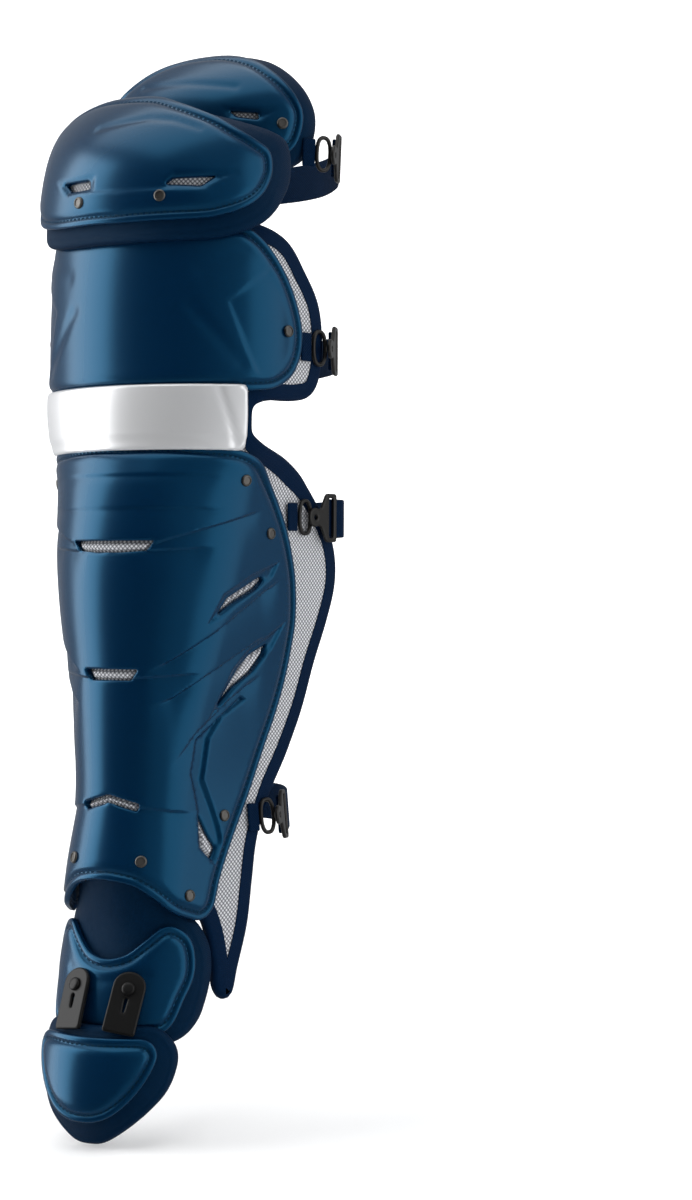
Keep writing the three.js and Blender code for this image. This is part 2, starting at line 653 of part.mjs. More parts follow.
for (const [name, form, half, shareOf, places] of screwPlaces) {
  places.forEach(([a, b], i) => {
    const height = form.level + shareOf(b) * form.height;
    guard.add(screw(`${name}_right_${i + 1}`, form, a * half, height));
    guard.add(screw(`${name}_left_${i + 1}`, form, -a * half, height));
  });
}

// Rubber straps from the ankle plate down to the toe plate's edge, with their studs
const rubberTop = 0.56; // of the ankle plate's height
for (const [side, share] of [['left', -0.28], ['right', 0.34]]) {
  const around = share * ankleHalf;
  const top = ankleLevel + ankleHeight * rubberTop;
  const lift = gap + rubberThickness / 2;
  const foot = onForm(toe, around, toeTop + 6 * gap, lift - shellWall);
  const head = onForm(ankle, around, top, lift + gap);
  const along = head.clone().sub(foot).normalize();
  const out = formFrame(ankle, around, top).side.cross(along).normalize();
  const turned = new THREE.Matrix4().makeBasis(along.clone().cross(out), along, out);
  const strap = new THREE.Mesh(
    new THREE.BoxGeometry(rubberWidth, head.distanceTo(foot), rubberThickness), blackRubber);
  strap.name = `rubber_strap_${side}`;
  strap.quaternion.setFromRotationMatrix(turned);
  strap.position.copy(foot).lerp(head, 0.5);
  guard.add(strap);
  const stud = roundHead(`rubber_stud_${side}`, studRadius);
  stud.quaternion.copy(strap.quaternion);
  stud.position.copy(foot).lerp(head, 0.72).addScaledVector(out, rubberThickness / 2 + gap);
  guard.add(stud);
}

// Hook: a nose over the ring and a frame that the strap is looped through
function hookShape() {
  const nose = 5.5;
  const frame = strapWidth / 2 + 3;
  const slot = strapWidth / 2 + 0.5;
  const shape = new THREE.Shape();
  shape.absarc(nose, 0, nose, Math.PI / 2, -Math.PI / 2, false);
  shape.lineTo(hookLength * 0.42, -nose * 0.8);
  shape.lineTo(hookLength * 0.62, -frame);
  shape.lineTo(hookLength, -frame);
  shape.lineTo(hookLength, frame);
  shape.lineTo(hookLength * 0.62, frame);
  shape.lineTo(hookLength * 0.42, nose * 0.8);
  const hole = new THREE.Path();
  hole.moveTo(hookLength * 0.72, -slot);
  hole.lineTo(hookLength * 0.72, slot);
  hole.lineTo(hookLength * 0.88, slot);
  hole.lineTo(hookLength * 0.88, -slot);
  shape.holes.push(hole);
  return shape;
}

// A flat strap between two edge curves, with its thickness inwards.
function ribbon(name, upper, lower) {
  const steps = 22;
  const vertices = [];
  const faces = [];
  for (let i = 0; i <= steps; i += 1) {
    const a = upper.getPoint(i / steps);
    const b = lower.getPoint(i / steps);
    const inward = upper.getTangent(i / steps).cross(a.clone().sub(b)).normalize()
      .multiplyScalar(-strapThickness);
    for (const p of [a, b, b.clone().add(inward), a.clone().add(inward)]) {
      vertices.push(p.toArray());
    }
  }
  for (let i = 0; i < steps; i += 1) {
    for (let k = 0; k < 4; k += 1) {
      const [a, b] = [4 * i + k, 4 * i + ((k + 1) % 4)];
      faces.push([a, b, b + 4], [a, b + 4, a + 4]);
    }
  }
  const last = 4 * steps;
  faces.push([0, 2, 1], [0, 3, 2], [last, last + 1, last + 2], [last, last + 2, last + 3]);
  return meshOf(name, vertices, faces, webbing);
}

// One fastening: a tab with a ring on the +X side, the hook on it, and the strap that goes
// from the hook round the back of the leg to where it is sewn on the -X side. Past the ring
// and the edge of the cloth, the hook turns in towards the leg by an angle in degrees.
function fastening(name, form, height, start, edge, turnIn, depth, bulge, face) {
  const tabLength = 8;
  const tab = new THREE.Mesh(new THREE.BoxGeometry(tabLength, tabWidth, tabThickness), webbing);
  tab.name = `${name}_tab`;
  guard.add(seated(tab, form, start + tabLength / 2, height, face + gap + tabThickness / 2));

  const ring = new THREE.Mesh(
    new THREE.TorusGeometry((ringHeight - ringWire) / 2, ringWire / 2, 5, 14), darkMetal);
  ring.scale.set((ringWidth - ringWire) / (ringHeight - ringWire), 1, 1);
  ring.name = `${name}_ring`;
  const ringAt = start + tabLength + gap + ringWidth / 2;
  const ringOut = face + gap + ringWire / 2;
  guard.add(seated(ring, form, ringAt, height, ringOut));

  const hook = new THREE.Mesh(new THREE.ExtrudeGeometry(hookShape(),
    { depth: hookThickness, bevelEnabled: false, curveSegments: 5 }), darkMetal);
  hook.name = `${name}_hook`;
  const hookOut = ringOut + ringWire / 2 + 2 * gap;
  const farWire = (ringWidth - ringWire) / 2;
  const turnAt = Math.max(farWire, edge + bindingWidth + 2 * gap - ringAt);
  const frame = formFrame(form, ringAt, height);
  const angle = THREE.MathUtils.degToRad(turnIn);
  const side = frame.side.clone().applyAxisAngle(frame.up, angle);
  const out = frame.out.clone().applyAxisAngle(frame.up, angle);
  const hookPoint = (along, up, lift) => onForm(form, ringAt, height, hookOut)
    .addScaledVector(frame.side, turnAt).addScaledVector(side, along - turnAt)
    .addScaledVector(frame.up, up).addScaledVector(out, lift);
  hook.quaternion.setFromRotationMatrix(new THREE.Matrix4().makeBasis(side, frame.up, out));
  hook.position.copy(hookPoint(0, 0, 0));
  guard.add(hook);

  const run = Math.max(edge - ringAt, hookLength) + strapRun;
  const edgeCurve = (drop) => {
    const right = [hookLength * 0.7, (hookLength * 0.7 + run) / 2, run]
      .map((along) => hookPoint(along, drop, -gap));
    const left = [edge + 4, (edge + start) / 2, start]
      .map((around) => onForm(form, -around, height + drop, face + gap + strapThickness));
    left[0].x -= bulge;
    const corner = right[2];
    const back = [[0.86, 0.38], [0.5, 0.85], [0, 1], [-0.5, 0.85], [-0.86, 0.38]]
      .map(([across, share]) => new THREE.Vector3(
        corner.x * across - bulge * (across < -0.6 ? 1 : 0), corner.y + depth * share,
        height + drop));
    return new THREE.CatmullRomCurve3([...right, ...back, ...left]);
  };
  guard.add(ribbon(`${name}_strap`, edgeCurve(strapWidth / 2), edgeCurve(-strapWidth / 2)));
}

const kneeHeight = kneePlateLevel + kneePlateHeight * 0.29;
const calfHeight = shinLevel + shinLength * 0.85;
const heelHeight = shinLevel + shinLength * 0.20;
const thighHeight = thighCapLevel + thighCapHeight * 0.14;
const onLiner = linerFace + gap;
const onThighPad = gap - (shellWall + shellSeat) - 1.5; // its face falls away towards the rim
fastening('knee', leg, kneeHeight, kneePlateHalf + 1.5, kneeWingHalf, 32, 46, 14, onLiner);
fastening('calf', leg, calfHeight, shinHalf * 0.92, wingHalf * 0.98, 0, 44, 0, onLiner);
fastening('heel', leg, heelHeight, shinHalf * 0.74, wingHalf * 0.68, 34, 48, 0, onLiner);
fastening('thigh', thigh, thighHeight, thighCapHalf - 1, thighCapHalf + thighPadMargin, 42, 50,
  0, onThighPad);

// The origin is where the liner sits on the front of the shin
const seatHeight = shinLevel + shinLength * 0.4;
const seat = onForm(leg, 0, seatHeight, linerFace - linerThickness);
guard.position.copy(seat).negate();
guard.updateMatrixWorld(true);

export default guard;
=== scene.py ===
# %% [markdown]
# # Looks of a catcher's leg guard
# The guard is a row of glossy navy plates over padded cloth, closed round the leg by
# webbing straps. Each piece is built again here with its fine detail: rolled rims with a
# stitched groove, the relief of the moulded plates, woven mesh, tape, webbing and small
# metal parts.
#
# The places of the pieces could be typed in. They come from the CAD model instead, so it is
# loaded first.

import math

import bpy
import numpy as np
from mathutils import Matrix, Vector
from mathutils.geometry import delaunay_2d_cdt


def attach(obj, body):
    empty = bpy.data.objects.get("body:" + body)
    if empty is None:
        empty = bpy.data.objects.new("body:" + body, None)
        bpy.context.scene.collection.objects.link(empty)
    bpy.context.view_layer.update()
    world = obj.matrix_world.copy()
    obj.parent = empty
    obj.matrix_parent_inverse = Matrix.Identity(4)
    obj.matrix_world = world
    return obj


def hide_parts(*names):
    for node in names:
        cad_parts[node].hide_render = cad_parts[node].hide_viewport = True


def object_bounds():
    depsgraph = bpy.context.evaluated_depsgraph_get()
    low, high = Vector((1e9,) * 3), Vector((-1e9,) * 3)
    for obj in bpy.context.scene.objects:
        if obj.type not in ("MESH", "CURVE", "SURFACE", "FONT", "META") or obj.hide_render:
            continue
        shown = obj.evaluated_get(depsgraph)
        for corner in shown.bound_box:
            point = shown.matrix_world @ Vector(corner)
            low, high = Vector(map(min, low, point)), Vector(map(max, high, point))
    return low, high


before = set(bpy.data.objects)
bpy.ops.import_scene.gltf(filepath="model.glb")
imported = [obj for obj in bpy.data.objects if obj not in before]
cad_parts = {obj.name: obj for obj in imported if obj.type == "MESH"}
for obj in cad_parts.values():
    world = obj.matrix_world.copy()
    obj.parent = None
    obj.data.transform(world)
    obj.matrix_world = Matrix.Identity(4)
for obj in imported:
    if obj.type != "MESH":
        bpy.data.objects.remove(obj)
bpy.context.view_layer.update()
print(len(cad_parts), "nodes loaded")

# %% [markdown]
# ## Sizes
# A maker draws the guard once and cuts every part to the drawing. The sizes could be measured
# back from the CAD meshes; they are written as the CAD source has them, in millimetres and in
# its own coordinates, because plates, pads and straps are all worked out from them. The guard
# stands upright, heights are measured from the floor and the front faces -Y.

# %% Sizes
MM = 0.001
GAP = 0.4
SHELL_WALL = 3.0
SHELL_SEAT = 0.9
LINER_FACE = -(SHELL_WALL + 1.4)
LINER_THICKNESS = 9.0
WING_THICKNESS = 5.0
BAND_WALL = 2.2
BINDING_REACH = 3
STRAP_WIDTH, STRAP_RUN = 22, 5
TAB_LENGTH, TAB_WIDTH, TAB_THICKNESS = 8, 16, 1.6
RING_WIDTH, RING_HEIGHT, RING_WIRE = 12, 21, 2.4
HOOK_LENGTH, NOSE, FRAME, SLOT = 24.0, 5.5, 14.0, 11.5

TOE_LEVEL, TOE_HEIGHT = 37, 45
ANKLE_LEVEL, ANKLE_HEIGHT = 84, 54
SHIN_LEVEL, SHIN_LENGTH = 140, 261
BAND_LEVEL, BAND_HEIGHT = 397, 36
KNEE_PLATE_LEVEL, KNEE_PLATE_HEIGHT = 429, 97
KNEE_CAP_LEVEL, KNEE_CAP_HEIGHT = 521, 81
THIGH_LEVEL, THIGH_HEIGHT = 562, 74

TOE_HALF, ANKLE_HALF, SHIN_HALF, WING_HALF = 41, 52, 128, 163
BAND_HALF, KNEE_PLATE_HALF, KNEE_WING_HALF = 70, 109, 127
KNEE_CAP_HALF, THIGH_HALF = 89, 76

# %% [markdown]
# ## The forms that the guard is shaped to
# Every piece lies on a bent surface round the leg. A point on one is given by its distance
# round the leg from the front line, its height and its distance out of the surface.
#
# Such a surface could be lofted or sculpted. A short table says how its front line, radii and
# turn change with height, and a smooth curve runs through the table, because the CAD source
# works in the same way and the looks then agree with the CAD solids.

# %% Curves through tables
def column_at(rows, share, column):
    """A table's column at a share, as a cubic Hermite curve: with t the share between two
    rows, h00(t) a + h01(t) b + step (h10(t) ma + h11(t) mb), where a slope m is the rise
    between a row's neighbours. Past the ends it goes straight on."""
    rows = np.asarray(rows, float)
    ups, values = rows[:, 0], rows[:, column]
    index = np.arange(len(rows))
    before, after = np.maximum(index - 1, 0), np.minimum(index + 1, len(rows) - 1)
    slopes = (values[after] - values[before]) / (ups[after] - ups[before])
    share = np.asarray(share, float)
    i = np.clip(np.searchsorted(ups, share, side="right") - 1, 0, len(rows) - 2)
    step = ups[i + 1] - ups[i]
    t = np.clip((share - ups[i]) / step, 0, 1)
    t2, t3 = t**2, t**3
    inside = (
        values[i] * (2 * t3 - 3 * t2 + 1)
        + values[i + 1] * (3 * t2 - 2 * t3)
        + step * (slopes[i] * (t3 - 2 * t2 + t) + slopes[i + 1] * (t3 - t2))
    )
    below = np.minimum(share - ups[0], 0) * slopes[0]
    above = np.maximum(share - ups[-1], 0) * slopes[-1]
    return inside + below + above


def smooth(x, start, end):
    """0 before start, 1 after end, and 3t^2 - 2t^3 between, with t the share of the way."""
    t = np.clip((x - start) / (end - start), 0, 1)
    return t * t * (3 - 2 * t)


print("half way through a smooth step:", smooth(0.5, 0, 1))

# %% [markdown]
# A shin is broad in front and tighter at its sides, so a section of the guard is two arcs
# and then a straight run back. A spline could draw it; arcs were chosen, because a distance
# along an arc is known exactly, and an outline drawn flat keeps its size when it is bent.

# %% Surfaces round the leg
SHOULDER = math.radians(35)


def form_point(form, around, height):
    """A point of a form's surface. Its section has radius r1 up to the shoulder angle, then
    r2 up to the turn angle, and then runs straight back: x is r1 sin(a1) + r2 (sin(s + a2) -
    sin(s)) + c cos(turn), and y is the front plus the same with 1 - cos and sin(turn)."""
    around, height = np.broadcast_arrays(
        np.asarray(around, float), np.asarray(height, float)
    )
    share = (height - form["level"]) / form["height"]
    front = form["base"] + form["lean"] * column_at(form["rows"], share, 1)
    r1 = form["radius"] * column_at(form["rows"], share, 2)
    r2 = form["radius"] * column_at(form["rows"], share, 3)
    turn = np.radians(column_at(form["rows"], share, 4))
    reach = np.abs(around)
    a1 = np.minimum(reach / r1, SHOULDER)
    past = np.maximum(reach - r1 * SHOULDER, 0)
    a2 = np.minimum(past / r2, turn - SHOULDER)
    straight = np.maximum(past - r2 * (turn - SHOULDER), 0)
    x = (
        r1 * np.sin(a1)
        + r2 * (np.sin(SHOULDER + a2) - math.sin(SHOULDER))
        + straight * np.cos(turn)
    )
    y = (
        front
        + r1 * (1 - np.cos(a1))
        + r2 * (math.cos(SHOULDER) - np.cos(SHOULDER + a2))
        + straight * np.sin(turn)
    )
    return np.stack([np.sign(around) * x, y, height], -1)


def unit(v):
    """Vectors divided by their lengths."""
    return v / np.linalg.norm(v, axis=-1, keepdims=True)


def form_frame(form, around, height):
    """The form's directions at a point, round the leg, up it and out of it: out is the cross
    product of the differences over 0.5 mm each way."""
    e = 0.5
    side = form_point(form, around + e, height) - form_point(form, around - e, height)
    up = form_point(form, around, height + e) - form_point(form, around, height - e)
    out = unit(np.cross(side, up))
    side = unit(side)
    return side, np.cross(out, side), out


def on_form(form, around, height, out):
    """The point at a distance out of the form's surface: p + out n."""
    normal = form_frame(form, around, height)[2]
    return (
        form_point(form, around, height) + np.asarray(out, float)[..., None] * normal
    )


print("shoulder at", round(math.degrees(SHOULDER)), "degrees")

# %% [markdown]
# The guard has five such surfaces: one for the long plates and the liner, and one each for
# the knee cap, the thigh cap, the ankle plate and the toe plate, which stand in front of it
# or behind it. A scan would give more points than anyone can read; six to thirteen sections
# each say the same and are easy to change.

# %% Leg, knee cap, thigh cap, ankle and toe forms
# Columns: height share, front line, two radii as shares, turn in degrees
LEG = {
    "level": ANKLE_LEVEL,
    "height": KNEE_CAP_LEVEL - ANKLE_LEVEL,
    "radius": 60,
    "base": 0,
    "lean": -100,
    "rows": [
        [0.014, 1.00, 0.67, 0.67, 66],
        [0.082, 0.96, 0.67, 0.67, 68],
        [0.185, 0.88, 0.65, 0.65, 70],
        [0.275, 0.80, 0.62, 0.62, 71],
        [0.357, 0.79, 0.68, 0.68, 73],
        [0.437, 0.79, 0.80, 0.80, 75],
        [0.517, 0.80, 0.93, 0.93, 76],
        [0.595, 0.79, 1.02, 1.02, 76],
        [0.673, 0.74, 1.10, 1.03, 76],
        [0.723, 0.66, 1.40, 0.97, 75],
        [0.792, 0.64, 1.58, 0.92, 74],
        [0.952, 0.61, 1.58, 0.92, 72],
        [1.089, 0.52, 1.53, 0.92, 68],
    ],
}


def front_of(form, height):
    """Where the form's front line is, in y."""
    return float(form_point(form, 0.0, height)[1])


KNEE_FRONT = front_of(LEG, KNEE_CAP_LEVEL) - 12
KNEE = {
    "level": KNEE_CAP_LEVEL,
    "height": KNEE_CAP_HEIGHT,
    "radius": 60,
    "base": KNEE_FRONT,
    "lean": 54,
    "rows": [
        [-0.20, 0.030, 1.68, 0.95, 66],
        [0.01, -0.007, 1.68, 0.95, 68],
        [0.235, 0.000, 1.64, 0.96, 70],
        [0.43, 0.057, 1.62, 0.97, 70],
        [0.605, 0.178, 1.64, 0.98, 70],
        [0.765, 0.363, 1.67, 1.00, 70],
        [0.89, 0.567, 1.70, 1.00, 70],
        [0.99, 0.789, 1.70, 1.00, 70],
        [1.05, 0.993, 1.70, 1.00, 70],
    ],
}
THIGH = {
    "level": THIGH_LEVEL,
    "height": THIGH_HEIGHT,
    "radius": 60,
    "base": KNEE_FRONT + 65.8,
    "lean": 38,
    "rows": [
        [-0.16, 0.120, 1.60, 1.00, 68],
        [0.18, 0.040, 1.62, 1.00, 70],
        [0.38, 0.016, 1.63, 1.00, 70],
        [0.54, 0.070, 1.63, 1.00, 70],
        [0.69, 0.230, 1.63, 1.00, 70],
        [0.81, 0.440, 1.63, 1.00, 70],
        [0.92, 0.700, 1.62, 1.00, 70],
        [1.00, 1.000, 1.60, 1.00, 70],
    ],
}
ANKLE = {
    "level": ANKLE_LEVEL,
    "height": ANKLE_HEIGHT,
    "radius": 51,
    "base": front_of(LEG, ANKLE_LEVEL + 1.5 * ANKLE_HEIGHT) + GAP,
    "lean": 10,
    "rows": [
        [-0.44, -1.0, 0.98, 0.98, 64],
        [-0.17, -0.7, 0.98, 0.98, 66],
        [0.15, -0.3, 1.00, 1.00, 67],
        [0.44, 0.1, 1.00, 1.00, 68],
        [0.76, 0.5, 1.00, 1.00, 68],
        [1.00, 0.6, 0.92, 0.92, 68],
        [1.22, 0.4, 0.80, 0.80, 68],
        [1.50, 0.0, 0.73, 0.73, 68],
    ],
}
TOE_TOP = TOE_LEVEL + TOE_HEIGHT
TOE = {
    "level": TOE_LEVEL,
    "height": TOE_HEIGHT,
    "radius": 50,
    "base": front_of(ANKLE, TOE_TOP) - 10.2,
    "lean": 6,
    "rows": [
        [-0.24, -0.50, 0.90, 0.90, 52],
        [0.04, -1.00, 0.94, 0.94, 54],
        [0.29, -1.00, 0.98, 0.98, 56],
        [0.62, -0.67, 1.02, 1.02, 58],
        [0.98, 0.00, 1.04, 1.04, 60],
        [1.40, 0.83, 1.04, 1.04, 60],
    ],
}
SEAT = on_form(
    LEG, 0.0, SHIN_LEVEL + 0.4 * SHIN_LENGTH, LINER_FACE - LINER_THICKNESS
)
print("seat of the guard, mm:", np.round(SEAT, 1))

# %% [markdown]
# ## Outlines
# The plates have outlines with soft corners. They could be drawn by hand as curves; here an
# outline is a closed smooth curve through a table of points, as shares of the plate's half
# width and height, because a table is read and changed easily. Without a left half of its
# own it is mirrored.

# %% Outline tools
def closed_curve(corners, count):
    """A closed uniform Catmull-Rom curve through the corners: with t from one corner b to the
    next c, b + t (c - a)/2 + t^2 (2a - 5b + 4c - d)/2 + t^3 (3b - a - 3c + d)/2. The result
    is count points at even spacing."""
    corners = np.asarray(corners, float)
    t = np.linspace(0, 1, 24, endpoint=False)[None, :, None]
    a, b = np.roll(corners, 1, 0)[:, None], corners[:, None]
    c, d = np.roll(corners, -1, 0)[:, None], np.roll(corners, -2, 0)[:, None]
    curve = (
        b
        + t * (c - a) / 2
        + t**2 * (2 * a - 5 * b + 4 * c - d) / 2
        + t**3 * (3 * b - a - 3 * c + d) / 2
    )
    return evenly(curve.reshape(-1, corners.shape[1]), count)


def evenly(loop, count):
    """A closed loop drawn again as count points at even spacing along it."""
    around = np.vstack([loop, loop[:1]])
    length = np.r_[0, np.cumsum(np.linalg.norm(np.diff(around, axis=0), axis=1))]
    at = np.linspace(0, length[-1], count, endpoint=False)
    return np.stack(
        [np.interp(at, length, around[:, k]) for k in range(loop.shape[1])], 1
    )


def rim_of(form, half, right, left=None, pitch=2.0):
    """A plate's outline in millimetres round and up, from a table of its right half, with
    the left half mirrored where it isn't given."""
    mirrored = [[-a, b] for a, b in (right[1:-1] if left is None else left)][::-1]
    corners = np.array([*right, *mirrored], float)
    corners = corners * [half, form["height"]] + [0, form["level"]]
    rough = np.linalg.norm(np.roll(corners, -1, 0) - corners, axis=1).sum()
    return closed_curve(corners, int(rough / pitch))


def moved_out(rim, margin):
    """A counterclockwise loop moved outwards by a margin, along p + margin (ty, -tx)."""
    along = unit(np.roll(rim, -1, 0) - np.roll(rim, 1, 0))
    return rim + np.stack([along[:, 1], -along[:, 0]], 1) * np.asarray(margin).reshape(
        -1, 1
    )


def filleted(corners, radius=1.5, pitch=0.7):
    """A small closed outline, counterclockwise and evenly spaced, whose corners b are each
    replaced by the curve (1 - t)^2 a + 2t (1 - t) b + t^2 c between the points a and c at
    the radius before and after it, or at 0.45 of a shorter edge."""
    loop = np.asarray(corners, float)
    x, y = loop[:, 0], loop[:, 1]
    if (x * np.roll(y, -1) - np.roll(x, -1) * y).sum() < 0:
        loop = loop[::-1]
    before, after = np.roll(loop, 1, 0) - loop, np.roll(loop, -1, 0) - loop
    back = np.linalg.norm(before, axis=1, keepdims=True)
    ahead = np.linalg.norm(after, axis=1, keepdims=True)
    a = loop + before * np.minimum(radius / back, 0.45)
    c = loop + after * np.minimum(radius / ahead, 0.45)
    t = np.linspace(0, 1, 7)[None, :, None]
    curve = (
        (1 - t) ** 2 * a[:, None]
        + 2 * t * (1 - t) * loop[:, None]
        + t**2 * c[:, None]
    ).reshape(-1, 2)
    length = np.linalg.norm(np.roll(curve, -1, 0) - curve, axis=1).sum()
    return evenly(curve, max(14, int(length / pitch)))


print(len(filleted([(0, 0), (9, 0), (9, 9), (0, 9)])), "points round a 9 mm square")

# %% [markdown]
# The relief of a moulded plate follows lines and panels that are cut into its mould. It
# could be sculpted or painted as a height map. Two measures give it by formula instead: how
# far a point lies from a line drawn on the plate, and how deep it lies inside an outline.

# %% Distances on a plate
def from_line(points, line, closed=False):
    """Distance of each point to a line of straight pieces, and how far along the line its
    nearest point is: the least over the pieces of |p - a - clip((p - a).(b - a)/|b - a|^2,
    0, 1) (b - a)|."""
    line = np.asarray(line, float)
    start = line if closed else line[:-1]
    step = (np.roll(line, -1, 0) if closed else line[1:]) - start
    size = np.linalg.norm(step, axis=1)
    before = np.r_[0, np.cumsum(size)[:-1]]
    distance, place = np.empty(len(points)), np.empty(len(points))
    for at in range(0, len(points), 8000):
        p = points[at : at + 8000, None] - start[None]
        t = np.clip((p * step).sum(2) / np.maximum(size**2, 1e-12), 0, 1)
        apart = np.hypot(*np.moveaxis(p - t[..., None] * step, 2, 0))
        best = apart.argmin(1)
        pick = np.arange(len(best))
        distance[at : at + 8000] = apart[pick, best]
        place[at : at + 8000] = before[best] + t[pick, best] * size[best]
    return distance, place


def inside(points, loop):
    """Whether each point is inside a closed loop: it is when a ray to +X crosses the loop's
    edges an odd number of times."""
    after = np.roll(loop, -1, 0)
    found = np.zeros(len(points), bool)
    for at in range(0, len(points), 8000):
        x, y = points[at : at + 8000, :1], points[at : at + 8000, 1:]
        spans = (loop[:, 1] > y) != (after[:, 1] > y)
        rise = after[:, 1] - loop[:, 1]
        rise = np.where(rise == 0, 1, rise)
        cut = loop[:, 0] + (y - loop[:, 1]) / rise * (after[:, 0] - loop[:, 0])
        found[at : at + 8000] = (spans & (x < cut)).sum(1) % 2 == 1
    return found


def depth_in(points, corners):
    """How deep each point lies inside an outline, and below zero outside it."""
    corners = np.asarray(corners, float)
    distance = from_line(points, corners, closed=True)[0]
    return np.where(inside(points, corners), distance, -distance)


TRIAL = depth_in(np.array([[2.0, 4.0]]), [(0, 0), (9, 0), (9, 9), (0, 9)])
print("(2, 4) lies", TRIAL[0], "mm deep in a 9 mm square")

# %% [markdown]
# ## Building a piece
# A piece is drawn flat over its outline, with rows of points close together along its
# edges, and is then bent onto its form, its top and its bottom apart. A regular grid would
# leave steps along curved edges and vents, so triangles over scattered points were chosen:
# they keep the edges of the plates and of their vents exact.

# %% Flat net
RIM_ROWS = (0, 0.3, 0.7, 1.2, 1.9, 2.6, 3.2, 3.7, 4.2, 4.7, 5.3, 6.2, 7.4, 9.0)
HOLE_ROWS = (0, 0.3, 0.8, 1.5, 2.4)


def flat_net(rim, holes, pitch, rim_rows, hole_rows=HOLE_ROWS, extra=()):
    """Points and triangles over the inside of a rim, without its holes, with every point's
    distance to the rim, its place along it and its distance to the nearest hole. Extra
    points may be added where a form needs them."""
    rows = [moved_out(rim, -row) for row in rim_rows[1:]]
    away = [from_line(row, rim, closed=True)[0] for row in rows]
    near = [
        row[(far > 0.97 * size) & inside(row, rim)]
        for row, far, size in zip(rows, away, rim_rows[1:])
    ]
    low, high = rim.min(0), rim.max(0)
    across = np.arange(low[0], high[0], pitch)
    up = np.arange(low[1], high[1], pitch * math.sqrt(0.75))
    grid = np.stack(np.meshgrid(across, up), 2)
    grid[1::2, :, 0] += pitch / 2
    grid = grid.reshape(-1, 2)
    grid = grid[inside(grid, rim)]
    grid = grid[from_line(grid, rim, closed=True)[0] > rim_rows[-1] + 0.5 * pitch]
    loose = np.vstack([*near, grid, *extra])
    hole_points = []
    for hole in holes:
        band = [moved_out(hole, row) for row in hole_rows[1:]]
        loose = loose[
            depth_in(loose, hole) < -(hole_rows[-1] + 0.4 * pitch)
        ]
        band = np.vstack(band)
        hole_points += [hole, band[inside(band, rim)]]
    points = np.vstack([rim, *hole_points, loose])
    return triangles_over(points, rim, holes)


def triangles_over(points, rim, holes):
    """Delaunay triangles over the points, kept where their middle is inside the rim and
    outside the holes."""
    net = delaunay_2d_cdt([Vector(p) for p in points.tolist()], [], [], 0, 1e-5, False)
    points = np.array([tuple(p) for p in net[0]])
    faces = np.array(net[2])
    middle = points[faces].mean(1)
    keep = inside(middle, rim)
    for hole in holes:
        keep &= ~inside(middle, hole)
    faces = faces[keep]
    used, faces = np.unique(faces, return_inverse=True)
    points, faces = points[used], faces.reshape(-1, 3)
    edge, place = from_line(points, rim, closed=True)
    hole_edge = np.full(len(points), 99.0)
    for hole in holes:
        hole_edge = np.minimum(hole_edge, from_line(points, hole, closed=True)[0])
    return {
        "points": points,
        "faces": faces,
        "edge": edge,
        "place": place,
        "hole_edge": hole_edge,
    }


print(len(RIM_ROWS), "rows of points along a plate's rim")

# %% [markdown]
# A real plate has a thickness, and so has each piece here: a top, a bottom and walls
# between them. Solidify could add it, but the two faces here have different shapes. Whole
# arrays go into the mesh at once, because a loop over so many faces would be slow.

# %% Solids
def row_frame(points):
    """Millimetres of the CAD source as metres of the CAD model: (p - seat) / 1000."""
    return (points - SEAT) * MM


def mesh_piece(name, points, face_groups, uv=None, sharp=35):
    """A smooth mesh object from points in the row frame and arrays of triangles or quads."""
    mesh = bpy.data.meshes.new(name)
    loops = np.concatenate([faces.ravel() for faces in face_groups])
    sizes = np.concatenate([np.full(len(f), f.shape[1]) for f in face_groups])
    mesh.vertices.add(len(points))
    mesh.vertices.foreach_set("co", np.asarray(points, np.float32).ravel())
    mesh.loops.add(len(loops))
    mesh.loops.foreach_set("vertex_index", loops.astype(np.int32))
    mesh.polygons.add(len(sizes))
    mesh.polygons.foreach_set(
        "loop_start", np.r_[0, np.cumsum(sizes)[:-1]].astype(np.int32)
    )
    mesh.polygons.foreach_set("use_smooth", np.ones(len(sizes), bool))
    if uv is not None:
        layer = mesh.uv_layers.new(name="UVMap")
        layer.data.foreach_set("uv", uv[loops].astype(np.float32).ravel())
    mesh.update(calc_edges=True)
    mesh.validate()
    mesh.set_sharp_from_angle(angle=math.radians(sharp))
    piece = bpy.data.objects.new(name, mesh)
    bpy.context.collection.objects.link(piece)
    return piece


def solid_over(name, net, top, bottom, uv, sharp=35):
    """A closed solid between a top and a bottom over a flat net. Its walls stand on the edges
    that only one triangle has."""
    faces, count = net["faces"], len(net["points"])
    edges = np.vstack([faces[:, [0, 1]], faces[:, [1, 2]], faces[:, [2, 0]]])
    key = np.sort(edges, 1) @ [count, 1]
    _, first, times = np.unique(key, return_index=True, return_counts=True)
    a, b = edges[first[times == 1]].T
    wall = np.stack([a, a + count, b + count, b], 1)
    points = np.vstack([top, bottom])
    groups = [np.vstack([faces, faces[:, ::-1] + count]), wall]
    return mesh_piece(name, row_frame(points), groups, np.vstack([uv, uv]), sharp)


def dress(piece, node, material):
    """Hangs a piece on the guard in place of its CAD node and material."""
    piece.name = f"{node}_look"
    piece.data.materials.append(material)
    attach(piece, "root")
    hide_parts(node)
    return piece


print("the seat is the origin:", row_frame(SEAT))

# %% [markdown]
# ## Materials
# The plates are injection-moulded plastic, coloured through and polished. The pads are a
# tight navy cloth; the liner is a pale open mesh. Pictures of cloth could be laid on them;
# fine weaves are bump and colour patterns in each piece's own coordinates instead, since
# they are too fine for a mesh and stay sharp at any size. These helpers keep each material
# short.

# %% Shader tools
BLUE_SHINE = (0.09, 0.55, 1.0)


